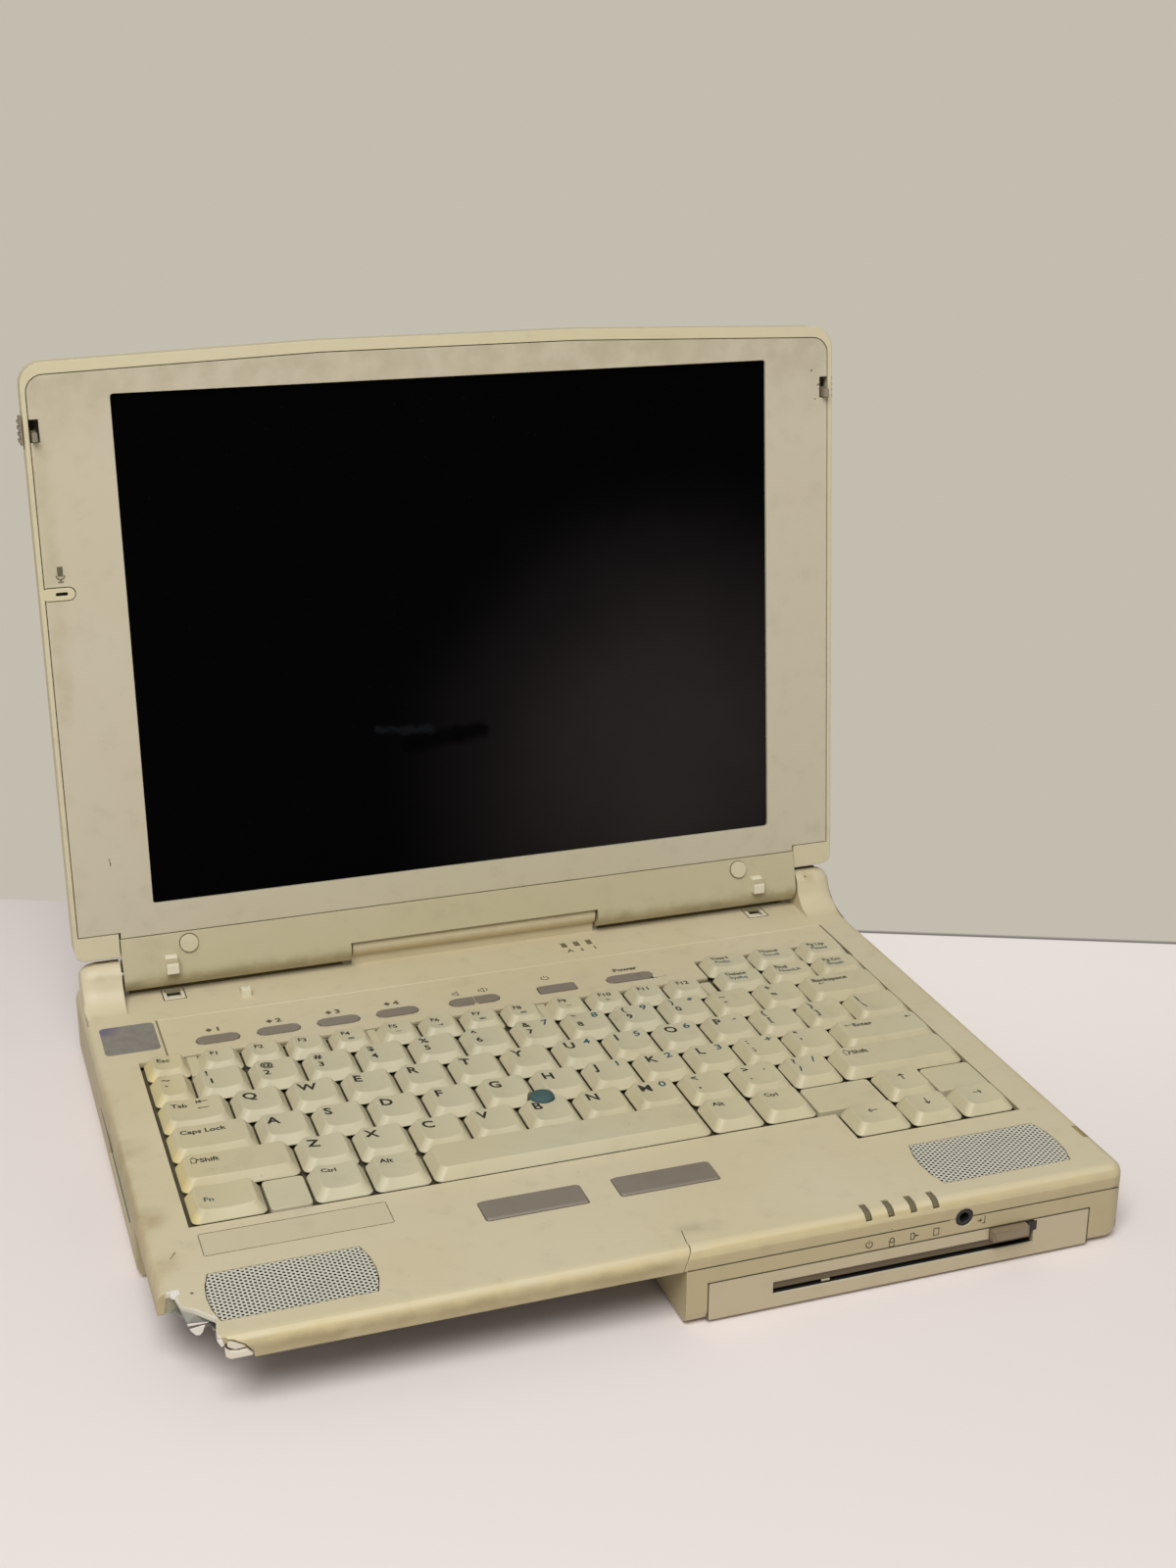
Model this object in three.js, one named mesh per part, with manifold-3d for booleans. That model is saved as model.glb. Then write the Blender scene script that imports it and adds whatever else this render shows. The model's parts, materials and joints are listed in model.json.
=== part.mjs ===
// Broken laptop of the late 1990s, lid open, front left corner torn away, battery pack missing.
// Millimetres, +Z up, +X to the user's right, the front faces -Y.
// Origin: bottom centre of the whole object's box.
import * as THREE from 'three';
import { mergeVertices } from 'three/addons/utils/BufferGeometryUtils.js';
import Module from 'manifold-3d';

const wasm = await Module();
wasm.setup();

// Base: overall sizes
const BASE_WIDTH = 306;
const BASE_DEPTH = 243;
const BASE_CORNER = 5.5;
const UNDERSIDE = 1.2;
const SEAM = 20;
const COVER_DEPTH = 7.5;
const WALL = 2;
const GAP = 0.3;
const EDGE_ROUND = 3.6;

// Hinge line, measured from the back edge and the deck
const HINGE_FROM_BACK = 16.3;
const HINGE_ABOVE_DECK = 8.1;
const LID_LEAN = 5.7;
const BARREL_RADIUS = 6.1;
const BARREL_WALL = 1.5;
const CAP_RADIUS = 6.4;
const CAP_WIDTH = 16;
const CAP_RAMP = 23;
const KNUCKLE_RADIUS = 4.3;
const KNUCKLE_HALF_WIDTH = 49.4;
const BARREL_END_GAP = 0.8;
const TROUGH = { front: 0.6, back: 7.8, depth: 3.8 };
const SHAFT_RADIUS = 2.2;
const SHAFT_LENGTH = 36;
const SLEEVE_RADIUS = 4;
const RUNNING_GAP = 0.25;

// Lid, measured from the hinge line
const LID_FRONT_SETBACK = 3.5;
const LID_ARCH = 3.5;
const LID_TOP_RIM = 2.5;
const LID_FOOT = 8.4;
const LID_DEPTH = 16;
const LID_CORNER = 8;
const LID_WALL = 1.6;
const LID_BACK_WALL = 2;
const BEZEL_FRONT = 3.3;
const BEZEL_THICKNESS = 1.6;
const BEZEL_FOOT = 17.4;
const STRIP_TOP = 15.1;
const STRIP_LOW = 2.4;
const STRIP_THICKNESS = 1.3;
const BEZEL_SIDE = 29;
const BEZEL_TOP = 9.4;
const SCREEN_BOTTOM = 27.4;
const SCREEN_SHIFT = 1;
const PANEL_MARGIN = 6;
const PANEL_THICKNESS = 6;
const SCREW_COVER_RADIUS = 3.4;
const SCREW_COVER_FROM_CAP = 25.7;
const SCREW_COVER_Z = 10.9;
const PEG_FROM_CAP = 18.5;
const PEG_WIDTH = 4.4;
const PEG_LOW = 1.2;
const PEG_HIGH = 6.8;
const PEG_REACH = 9.3;
const LATCH_FROM_TOP = 20.8;
const LATCH_HEIGHT = 8;
const LATCH_WIDTH = 3.2;
const LATCH_TRAVEL = 4;
const LATCH_HOOK_REACH = 2.6;
const MIC_FROM_TOP = 78;
const MIC_FROM_SIDE = 7.6;
const MIC_TAB_LENGTH = 12.2;
const MIC_TAB_HEIGHT = 4.4;

// Keyboard
const KEYBOARD_SIDE = 14.9;
const PALM_REST = 60.5;
const SHORT_ROW_PITCH = 14.7;
const ARROW_ROW_PITCH = 17;
const KEYBOARD_UNITS = 14.5;
const KEY_HEIGHT = 4.3;
const KEY_SPLIT = 0.7;
const KEY_SIDE_SLOPE = 2.6;
const KEY_FRONT_SLOPE = 3.2;
const KEY_BACK_SLOPE = 1.3;
const KEY_STEM = 7;
const CARRIER_THICKNESS = 1.5;
const CARRIER_MARGIN = 3;
const STICK_RADIUS = 4.3;
const STICK_POST_RADIUS = 1.6;

// Switch panel behind the keys
const PANEL_SIDE = 25.1;
const PANEL_DEPTH = 30.75;
const PANEL_SPLIT = 1.2;
const BEHIND_PANEL = 41.6;
const PANEL_PLATE = 1.3;
const PANEL_LEDGE = 2.5;
const PANEL_STANDS_PROUD = 0.2;
const BUTTON_FROM_PANEL_FRONT = 9.45;
const BUTTON_DEPTH = 5.6;
const BUTTON_PROUD = 0.4;
const BUTTON_SINK = 3.2;
const QUICK_WIDTH = 15.8;
const QUICK_FIRST_UNITS = -5.72;
const QUICK_STEP_UNITS = 1.1585;
const VOLUME_UNITS = -0.693;
const VOLUME_WIDTH = 9.6;
const SUSPEND_UNITS = 1.013;
const SUSPEND_WIDTH = 14.8;
const POWER_UNITS = 2.546;
const POWER_WIDTH = 18.7;
const POWER_TRAVEL = 3.4;

// Palm rest and front lip
const CLICK_WIDTH = 33.2;
const CLICK_DEPTH = 11;
const CLICK_FROM_FRONT = 40;
const CLICK_LEFT_X = -35;
const CLICK_RIGHT_X = 8.9;
const GRILLE_FROM_SIDE = 38.5;
const GRILLE_FROM_FRONT = 21.7;
const GRILLE_WIDTH = 45;
const GRILLE_DEPTH = 24.2;
const GRILLE_BULGE = 2.2;
const GRILLE_THICKNESS = 1.2;
const GRILLE_COLUMNS = 7;
const GRILLE_ROWS = 4;
const SPEAKER_RADIUS = 11;
const LIGHT_X = 72.6;
const LIGHT_PITCH = 7.73;
const LIGHT_WIDTH = 1.6;
const LIGHT_LENGTH = 5.6;
const LIGHT_FROM_FRONT = 3.6;
const LOCK_LIGHT_X = 39.3;
const LOCK_LIGHT_PITCH = 5.2;
const LOCK_LIGHT_FROM_HINGE = 10.2;
const NUB_FROM_SIDE = 60.4;
const NUB_WIDTH = 4;
const JACK_X = 94.2;
const JACK_RADIUS = 2.9;
const JACK_BORE = 1.75;
const CATCH_LENGTH = 8;
const CATCH_WIDTH = 2.6;
const CATCH_FROM_SIDE = 1.5;
const CRACK_WIDTH = 0.28;

// Battery bay, diskette drive and card slot
const BAY_RIGHT = 0.5;
const BAY_DEPTH = 79;
const LINER_RIBS = { fromSide: 33, pitch: 42, width: 1.2, length: 56 };
const CONTACTS = { fromBayRight: 70.5, width: 24, depth: 5, low: 6, high: 16, slotPitch: 4.4, slotWidth: 1.6 };
const LINER_THICKNESS = 1;
const LIP_RIB_SETBACK = 5;
const LIP_RIB_THICKNESS = 1.2;
const DRIVE_FROM_BAY = 7.2;
const DRIVE_FROM_SIDE = 13.3;
const DRIVE_TOP = 14.3;
const DRIVE_BODY_WIDTH = 101;
const DRIVE_BODY_LENGTH = 100;
const DISK_SLOT_FROM_RIGHT = 20;
const DISK_SLOT_WIDTH = 90.6;
const DISK_SLOT_LOW = 5.9;
const DISK_SLOT_HEIGHT = 4.3;
const EJECT_FROM_SLOT_END = 9.6;
const EJECT_WIDTH = 12.8;
const EJECT_LOW = 10.3;
const EJECT_HEIGHT = 3.6;
const EJECT_PROUD = 3.2;
const CARD_FROM_BAY = 8.5;
const CARD_WIDTH = 58;
const CARD_LOW = 8.4;
const CARD_BELOW_SEAM = 1.2;
const CARD_DEPTH = 86;

// Inside the base
const BOARD_LOW = 5.5;
const BOARD_THICKNESS = 1.6;
const FOOT_RADIUS = 6;
const FOOT_POCKET = 0.8;
const HARD_DRIVE = { fromSide: 53, y: 40, width: 70, depth: 56, height: 12.5 };
const MEMORY_COVER = { x: -40, y: 60, width: 84, depth: 46, thickness: 1 };

// Derived lines
const HALF = BASE_WIDTH / 2;
const FRONT = -BASE_DEPTH / 2;
const BACK = BASE_DEPTH / 2;
const DECK = SEAM + COVER_DEPTH;
const FLOOR = UNDERSIDE + WALL;
const CEILING = DECK - WALL;
const CASE_TOP = SEAM - GAP / 2;
const COVER_LOW = SEAM + GAP / 2;
const HINGE_Y = BACK - HINGE_FROM_BACK;
const HINGE_Z = DECK + HINGE_ABOVE_DECK;
const LID_WIDTH = BASE_WIDTH;
const LID_SIDE_TOP = HINGE_Y - FRONT - LID_FRONT_SETBACK;
const SCREEN_WIDTH = LID_WIDTH - 2 * BEZEL_SIDE;
const SCREEN_HEIGHT = LID_SIDE_TOP - BEZEL_TOP - SCREEN_BOTTOM;
const LATCH_Z = LID_SIDE_TOP - LATCH_FROM_TOP;
const MIC_Z = LID_SIDE_TOP - MIC_FROM_TOP;
const MIC_X = -LID_WIDTH / 2 + MIC_FROM_SIDE;
const CAP_INNER = HALF - CAP_WIDTH;
const BARREL_OUTER = CAP_INNER - BARREL_END_GAP;
const PEG_X = CAP_INNER - PEG_FROM_CAP;
const SCREW_COVER_X = CAP_INNER - SCREW_COVER_FROM_CAP;
const BARREL_INNER = KNUCKLE_HALF_WIDTH + BARREL_END_GAP;
const KEYBOARD_WIDTH = BASE_WIDTH - 2 * KEYBOARD_SIDE;
const KEY_PITCH = KEYBOARD_WIDTH / KEYBOARD_UNITS;
const KEYBOARD_FRONT = FRONT + PALM_REST;
const PANEL_BACK = BACK - BEHIND_PANEL;
const PANEL_FRONT = PANEL_BACK - PANEL_DEPTH;
const LETTER_ROWS = 5;
const ROW_PITCH = (PANEL_FRONT - PANEL_SPLIT - SHORT_ROW_PITCH - KEYBOARD_FRONT) / LETTER_ROWS;
const KEYBOARD_LEFT = -KEYBOARD_WIDTH / 2;
const KEY_BASE = DECK + 0.1;
const CARRIER_TOP = CEILING - GAP;
const FUNCTION_ROW_FRONT = KEYBOARD_FRONT + LETTER_ROWS * ROW_PITCH;
const FUNCTION_ROW_BACK = FUNCTION_ROW_FRONT + SHORT_ROW_PITCH;
const NAV_ROW_BACK = FUNCTION_ROW_BACK + SHORT_ROW_PITCH;
const ARROW_FRONT = KEYBOARD_FRONT - ARROW_ROW_PITCH;
const FUNCTION_KEYS = 12;
const ESCAPE_UNITS = 0.945;
const FUNCTION_UNITS = 0.8415;
const NAV_UNITS = 11.3;
const NAV_LEFT = KEYBOARD_LEFT + NAV_UNITS * KEY_PITCH;
const ARROW_UNITS = 11.36;
const ARROW_LEFT = KEYBOARD_LEFT + ARROW_UNITS * KEY_PITCH;
const NAV_NOTCH_BACK = NAV_ROW_BACK + PANEL_SPLIT;
const PANEL_LEFT = -HALF + PANEL_SIDE;
const PANEL_RIGHT = -KEYBOARD_LEFT;
const PANEL_TOP = DECK + PANEL_STANDS_PROUD;
const BUTTON_Y = PANEL_FRONT + BUTTON_FROM_PANEL_FRONT;
const VOLUME_X = VOLUME_UNITS * KEY_PITCH;
const SUSPEND_X = SUSPEND_UNITS * KEY_PITCH;
const POWER_X = POWER_UNITS * KEY_PITCH;
const CLICK_Y = FRONT + CLICK_FROM_FRONT;
const GRILLE_X = HALF - GRILLE_FROM_SIDE;
const GRILLE_Y = FRONT + GRILLE_FROM_FRONT;
const LOCK_LIGHT_Y = HINGE_Y - LOCK_LIGHT_FROM_HINGE;
const BAY_BACK = FRONT + BAY_DEPTH;
const DRIVE_LEFT = BAY_RIGHT + DRIVE_FROM_BAY;
const DRIVE_RIGHT = HALF - DRIVE_FROM_SIDE;
const DISK_SLOT_RIGHT = DRIVE_RIGHT - DISK_SLOT_FROM_RIGHT;
const DISK_SLOT_LEFT = DISK_SLOT_RIGHT - DISK_SLOT_WIDTH;
const EJECT_X = DISK_SLOT_RIGHT - EJECT_FROM_SLOT_END;
const CARD_FRONT = BAY_BACK + CARD_FROM_BAY;
const CARD_BACK = CARD_FRONT + CARD_WIDTH;
const CARD_HEIGHT = SEAM - CARD_BELOW_SEAM - CARD_LOW;
const LINER_LOW = CASE_TOP + GAP;
const LINER_TOP = LINER_LOW + LINER_THICKNESS;
const CATCH_Y = HINGE_Y - LATCH_Z;
const LIGHT_Y = FRONT + LIGHT_FROM_FRONT;

function finish(color, roughness, metalness = 0) {
  return new THREE.MeshStandardMaterial({ color, roughness, metalness });
}
const CREAM = finish(0xc9bd93, 0.6);
const BEZEL_CREAM = finish(0xc7bfa0, 0.62);
const KEY_CREAM = finish(0xcfc7ac, 0.55);
const TAUPE = finish(0x6f6559, 0.5);
const SCREEN_BLACK = finish(0x08090b, 0.22);
const TEAL = finish(0x1d5a58, 0.8);
const GRILLE_WHITE = finish(0xc4c6bd, 0.55);
const LINER_GREY = finish(0x77756f, 0.5, 0.3);
const DARK_PLASTIC = finish(0x1b1a19, 0.55);
const BOARD_GREEN = finish(0x2c5b38, 0.6);
const STEEL = finish(0x8d8d8b, 0.35, 0.9);
const RUBBER = finish(0x2b2a28, 0.9);
const LENS = finish(0x4b4a3a, 0.3);

// Solid makers

const ALONG = {
  z: (u, v, h) => new THREE.Vector3(u, v, h),
  x: (u, v, h) => new THREE.Vector3(h, u, v),
  y: (u, v, h) => new THREE.Vector3(u, -h, v),
};

function solid(geometry) {
  const bare = geometry.clone();
  bare.deleteAttribute('normal');
  bare.deleteAttribute('uv');
  const merged = mergeVertices(bare);
  return new wasm.Manifold(new wasm.Mesh({
    numProp: 3,
    vertProperties: new Float32Array(merged.attributes.position.array),
    triVerts: new Uint32Array(merged.index.array),
  }));
}

function outline(shape, divisions) {
  const points = shape.getPoints(divisions);
  if (points[0].distanceTo(points[points.length - 1]) < 1e-6) {
    points.pop();
  }
  return THREE.ShapeUtils.isClockWise(points) ? points.reverse() : points;
}

// A closed body through a stack of outlines with equally many points; each layer is { points, at }.
function loft(axis, layers) {
  const place = ALONG[axis];
  const count = layers[0].points.length;
  const positions = layers.flatMap(({ points, at }) => points.flatMap((p) => place(p.x, p.y, at).toArray()));
  const index = [];
  for (let ring = 0; ring + 1 < layers.length; ring += 1) {
    for (let i = 0; i < count; i += 1) {
      const a = ring * count + i;
      const b = ring * count + ((i + 1) % count);
      index.push(a, b, b + count, a, b + count, a + count);
    }
  }
  const last = (layers.length - 1) * count;
  for (const [a, b, c] of THREE.ShapeUtils.triangulateShape(layers[0].points, [])) {
    index.push(c, b, a);
  }
  for (const [a, b, c] of THREE.ShapeUtils.triangulateShape(layers[layers.length - 1].points, [])) {
    index.push(last + a, last + b, last + c);
  }
  const geometry = new THREE.BufferGeometry();
  geometry.setAttribute('position', new THREE.Float32BufferAttribute(positions, 3));
  geometry.setIndex(index);
  return solid(geometry);
}

// Straight extrusion of a shape along an axis: x takes (y, z) outlines, y takes (x, z), z takes (x, y).
function prism(axis, shape, from, to, curveSegments = 3) {
  const geometry = new THREE.ExtrudeGeometry(shape, { depth: to - from, bevelEnabled: false, curveSegments });
  const origin = axis === 'y' ? ALONG.y(0, 0, -to) : ALONG[axis](0, 0, from);
  const across = ALONG[axis](1, 0, 0);
  const up = ALONG[axis](0, 1, 0);
  const forward = ALONG[axis](0, 0, 1);
  return solid(geometry.applyMatrix4(new THREE.Matrix4().makeBasis(across, up, forward).setPosition(origin)));
}

function block(x0, x1, y0, y1, z0, z1) {
  const geometry = new THREE.BoxGeometry(x1 - x0, y1 - y0, z1 - z0);
  return solid(geometry.translate((x0 + x1) / 2, (y0 + y1) / 2, (z0 + z1) / 2));
}

function polygon(pairs) {
  return new THREE.Shape(pairs.map(([u, v]) => new THREE.Vector2(u, v)));
}

function disc(u, v, radius) {
  return new THREE.Shape().absarc(u, v, radius, 0, 2 * Math.PI);
}

function roundedRectangle(u0, u1, v0, v1, radius) {
  const r = Math.max(0.05, Math.min(radius, (u1 - u0) / 2 - 0.01, (v1 - v0) / 2 - 0.01));
  return new THREE.Shape()
    .absarc(u1 - r, v0 + r, r, -Math.PI / 2, 0)
    .absarc(u1 - r, v1 - r, r, 0, Math.PI / 2)
    .absarc(u0 + r, v1 - r, r, Math.PI / 2, Math.PI)
    .absarc(u0 + r, v0 + r, r, Math.PI, 1.5 * Math.PI);
}

function centredBox(u, v, width, depth, radius) {
  return roundedRectangle(u - width / 2, u + width / 2, v - depth / 2, v + depth / 2, radius);
}

function mirrored(side, u0, u1) {
  return side > 0 ? [u0, u1] : [-u1, -u0];
}

function joined(bodies) {
  return bodies.reduce((sum, body) => sum.add(body));
}

function cutBy(body, cutters) {
  return cutters.reduce((rest, cutter) => rest.subtract(cutter), body);
}

function part(name, body, material) {
  const data = body.getMesh();
  const geometry = new THREE.BufferGeometry();
  geometry.setAttribute('position', new THREE.BufferAttribute(data.vertProperties, 3));
  geometry.setIndex(new THREE.BufferAttribute(data.triVerts, 1));
  geometry.computeVertexNormals();
  const mesh = new THREE.Mesh(geometry, material);
  mesh.name = name;
  return mesh;
}

// Shared outlines

function baseOutline(inset) {
  return outline(
    roundedRectangle(-HALF + inset, HALF - inset, FRONT + inset, BACK - inset, BASE_CORNER - inset), 2,
  );
}

function keyboardOpening(margin) {
  const right = -KEYBOARD_LEFT + margin;
  const main = block(
    KEYBOARD_LEFT - margin, right, KEYBOARD_FRONT - margin, PANEL_FRONT + margin, SEAM, 2 * DECK,
  );
  const arrows = block(ARROW_LEFT - margin, right, ARROW_FRONT - margin, KEYBOARD_FRONT, SEAM, 2 * DECK);
  const nav = block(NAV_LEFT - margin, right, FUNCTION_ROW_BACK, NAV_NOTCH_BACK + margin, SEAM, 2 * DECK);
  return joined([main, arrows, nav]);
}

function panelShape(inset) {
  return polygon([
    [PANEL_LEFT + inset, PANEL_FRONT + inset], [NAV_LEFT - GAP - inset, PANEL_FRONT + inset],
    [NAV_LEFT - GAP - inset, NAV_NOTCH_BACK + inset], [PANEL_RIGHT - inset, NAV_NOTCH_BACK + inset],
    [PANEL_RIGHT - inset, PANEL_BACK - inset], [PANEL_LEFT + inset, PANEL_BACK - inset],
  ]);
}

// Speaker grille outline: long sides straight, short sides bulging.
function grilleOutline(side, inset) {
  const x = side * GRILLE_X;
  const halfWidth = GRILLE_WIDTH / 2 - inset;
  const halfDepth = GRILLE_DEPTH / 2 - inset;
  const bulge = 2 * GRILLE_BULGE;
  return new THREE.Shape()
    .moveTo(x - halfWidth, GRILLE_Y - halfDepth)
    .lineTo(x + halfWidth, GRILLE_Y - halfDepth)
    .quadraticCurveTo(x + halfWidth + bulge, GRILLE_Y, x + halfWidth, GRILLE_Y + halfDepth)
    .lineTo(x - halfWidth, GRILLE_Y + halfDepth)
    .quadraticCurveTo(x - halfWidth - bulge, GRILLE_Y, x - halfWidth, GRILLE_Y - halfDepth);
}

const lightPlaces = [0, 1, 2, 3].map((i) => LIGHT_X + (i - 1.5) * LIGHT_PITCH);
const lockLightPlaces = [-1, 0, 1].map((i) => LOCK_LIGHT_X + i * LOCK_LIGHT_PITCH);
const quickPlaces = [0, 1, 2, 3].map((i) => (QUICK_FIRST_UNITS + i * QUICK_STEP_UNITS) * KEY_PITCH);

// Break line of the lost front left corner, from the left edge round to the front edge.
function lostCorner() {
  const edge = HALF + 2;
  return polygon([
    [-edge, FRONT + 28.5], [-HALF + 4.8, FRONT + 28.1], [-HALF + 6.1, FRONT + 20], [-HALF + 10, FRONT + 17],
    [-HALF + 14, FRONT + 12.3], [-HALF + 14.6, FRONT + 11.1],
    [-HALF + 13.3, FRONT + 4], [-HALF + 14.4, FRONT - 2],
    [-edge, FRONT - 2],
  ]);
}

// Top cover: palm rest, deck, hinge caps and middle knuckle in one moulding.

function hingeCap(side) {
  const profile = (inset) => {
    const radius = CAP_RADIUS - inset;
    const shape = new THREE.Shape()
      .moveTo(HINGE_Y + radius, DECK - 1)
      .lineTo(HINGE_Y + radius, HINGE_Z)
      .absarc(HINGE_Y, HINGE_Z, radius, 0, 0.88 * Math.PI);
    shape.quadraticCurveTo(HINGE_Y - CAP_RADIUS, DECK + 0.6, HINGE_Y - CAP_RAMP + inset, DECK - 1);
    return outline(shape, 5);
  };
  const steps = [[CAP_INNER, 0], [HALF - 7, 0], [HALF - 4, 0.6], [HALF - 2, 1.8], [HALF - 1, 3.2]];
  const layers = steps.map(([at, inset]) => ({ points: profile(inset), at: side * at }));
  return loft('x', side > 0 ? layers : layers.reverse());
}

function hingePocket(side) {
  const [x0, x1] = mirrored(side, CAP_INNER + 2, HALF - 6);
  const [bore0, bore1] = mirrored(side, CAP_INNER - 1, HALF - 6);
  const pocket = block(x0, x1, HINGE_Y - 4.2, HINGE_Y + 4.2, COVER_LOW, HINGE_Z + SHAFT_RADIUS + GAP);
  return pocket.add(prism('x', disc(HINGE_Y, HINGE_Z, SHAFT_RADIUS + GAP), bore0, bore1, 7));
}

function middleKnuckle() {
  const round = prism('x', disc(HINGE_Y, HINGE_Z, KNUCKLE_RADIUS), -KNUCKLE_HALF_WIDTH, KNUCKLE_HALF_WIDTH, 8);
  const support = block(
    -KNUCKLE_HALF_WIDTH, KNUCKLE_HALF_WIDTH, HINGE_Y - 1, HINGE_Y + KNUCKLE_RADIUS - 0.2, DECK - 1, HINGE_Z,
  );
  return round.add(support);
}

// The crest of the left hinge cap is broken through along its back, down to the hinge pocket.
function brokenCapTop() {
  const jagged = polygon([
    [-HALF + 6.4, HINGE_Y + 0.6], [-HALF + 8.2, HINGE_Y - 0.1], [-HALF + 10.8, HINGE_Y - 0.5],
    [-HALF + 12.6, HINGE_Y], [-CAP_INNER + 1, HINGE_Y - 0.8], [-CAP_INNER + 1, HINGE_Y + 3.4],
    [-HALF + 12, HINGE_Y + 2.6], [-HALF + 9, HINGE_Y + 3.1],
  ]);
  return prism('z', jagged, HINGE_Z, HINGE_Z + CAP_RADIUS + 1);
}

// Trough in the deck under each hinge barrel; grown by the wall, it is the moulding that holds the trough.
function barrelTrough(side, grow) {
  const [x0, x1] = mirrored(side, BARREL_INNER + WALL - grow, BARREL_OUTER - WALL + grow);
  const front = HINGE_Y + TROUGH.front - grow;
  const back = HINGE_Y + TROUGH.back + grow;
  return block(x0, x1, front, back, DECK - TROUGH.depth - grow, DECK + (grow ? -WALL / 2 : 1));
}

// A hairline crack that runs from the palm rest over the front lip, just left of the drive bay.
function lipCrack() {
  const ribbon = (path) => polygon([
    ...path.map(([u, v]) => [BAY_RIGHT + u - CRACK_WIDTH / 2, v]),
    ...path.map(([u, v]) => [BAY_RIGHT + u + CRACK_WIDTH / 2, v]).reverse(),
  ]);
  const onDeck = ribbon([[1.7, FRONT + 2.4], [1.3, FRONT + 4.2], [2.3, FRONT + 10.8]]);
  const onLip = ribbon([[-1.4, COVER_LOW - 1], [-0.1, COVER_LOW + 2.8], [1.4, DECK - 1.4], [1.7, DECK + 1]]);
  return prism('z', onDeck, CEILING - 1, DECK + 1).add(prism('y', onLip, FRONT - 1, FRONT + WALL + 1.2));
}

// The lower lip is torn back further than the deck above it, so the ribs behind it stand free.
function tornLip() {
  const shape = polygon([
    [-HALF, COVER_LOW - 1], [-HALF + 24, COVER_LOW - 1],
    [-HALF + 22.3, COVER_LOW + 1.6], [-HALF + 19, COVER_LOW + 3.2],
    [-HALF + 16.8, COVER_LOW + 4.6], [-HALF, COVER_LOW + 5],
  ]);
  return prism('y', shape, FRONT - 1, FRONT + LIP_RIB_SETBACK - 1);
}

function topCover() {
  const rise = DECK - COVER_LOW;
  const skin = loft('z', [
    { points: baseOutline(0), at: COVER_LOW },
    { points: baseOutline(0), at: COVER_LOW + 0.5 * rise },
    { points: baseOutline(0.2 * EDGE_ROUND), at: COVER_LOW + 0.78 * rise },
    { points: baseOutline(0.55 * EDGE_ROUND), at: COVER_LOW + 0.94 * rise },
    { points: baseOutline(EDGE_ROUND), at: DECK },
  ]);
  const hollow = loft(
    'z', [{ points: baseOutline(WALL), at: COVER_LOW - 1 }, { points: baseOutline(WALL + 1), at: CEILING }],
  );
  const ribY = FRONT + LIP_RIB_SETBACK;
  const lipRib = block(-HALF + 15.6, BAY_RIGHT - 1, ribY, ribY + LIP_RIB_THICKNESS, COVER_LOW, CEILING + 0.5);
  const nubLeft = -HALF + NUB_FROM_SIDE - NUB_WIDTH / 2;
  const nub = block(nubLeft, nubLeft + NUB_WIDTH, LOCK_LIGHT_Y - 1.8, LOCK_LIGHT_Y + 1.8, DECK - 1, DECK + 1);
  const shell = joined([
    skin.subtract(hollow), hingeCap(1), hingeCap(-1), middleKnuckle(),
    barrelTrough(1, WALL), barrelTrough(-1, WALL), lipRib, nub,
  ]);
  const through = [CEILING - 1, DECK + 1];
  const pegSlot = (side) => centredBox(side * PEG_X, HINGE_Y - 4.6, PEG_WIDTH + 1.8, 8.2, 0.6);
  const clickOpening = (x) => centredBox(
    x, CLICK_Y, CLICK_WIDTH + 2 * RUNNING_GAP, CLICK_DEPTH + 2 * RUNNING_GAP, 1,
  );
  const catchX = [HALF - CATCH_FROM_SIDE - CATCH_WIDTH, HALF - CATCH_FROM_SIDE];
  return cutBy(shell, [
    keyboardOpening(GAP),
    prism('z', panelShape(-GAP), PANEL_TOP - PANEL_PLATE - GAP, DECK + 1),
    prism('z', panelShape(PANEL_LEDGE), ...through),
    prism('z', grilleOutline(-1, -GAP), ...through, 4),
    prism('z', grilleOutline(1, -GAP), ...through, 4),
    ...[CLICK_LEFT_X, CLICK_RIGHT_X].map((x) => prism('z', clickOpening(x), ...through, 1)),
    ...lightPlaces.map((x) => block(
      x - LIGHT_WIDTH / 2 - GAP, x + LIGHT_WIDTH / 2 + GAP,
      LIGHT_Y - LIGHT_LENGTH / 2 - GAP, LIGHT_Y + LIGHT_LENGTH / 2 + GAP, ...through,
    )),
    ...lockLightPlaces.map((x) => block(
      x - LIGHT_WIDTH / 2 - GAP, x + LIGHT_WIDTH / 2 + GAP,
      LOCK_LIGHT_Y - 2 - GAP, LOCK_LIGHT_Y + 2 + GAP, ...through,
    )),
    prism('z', pegSlot(1), ...through, 1),
    prism('z', pegSlot(-1), ...through, 1),
    block(...catchX, CATCH_Y - CATCH_LENGTH / 2, CATCH_Y + CATCH_LENGTH / 2, ...through),
    prism('y', disc(JACK_X, SEAM, JACK_RADIUS + GAP), FRONT - 1, FRONT + WALL + 2, 6),
    hingePocket(1),
    hingePocket(-1),
    barrelTrough(1, 0),
    barrelTrough(-1, 0),
    brokenCapTop(),
    prism('z', lostCorner(), COVER_LOW - 1, DECK + 2),
    tornLip(),
    lipCrack(),
  ]);
}

// Bottom case: open tray with the battery bay missing its pack at the front left.

const footPlaces = {
  foot_rear_left: [-HALF + 20, BACK - 16],
  foot_rear_right: [HALF - 20, BACK - 16],
  foot_front_right: [HALF - 16, FRONT + 14],
  foot_front_middle: [BAY_RIGHT + 9, FRONT + 14],
};

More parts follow.
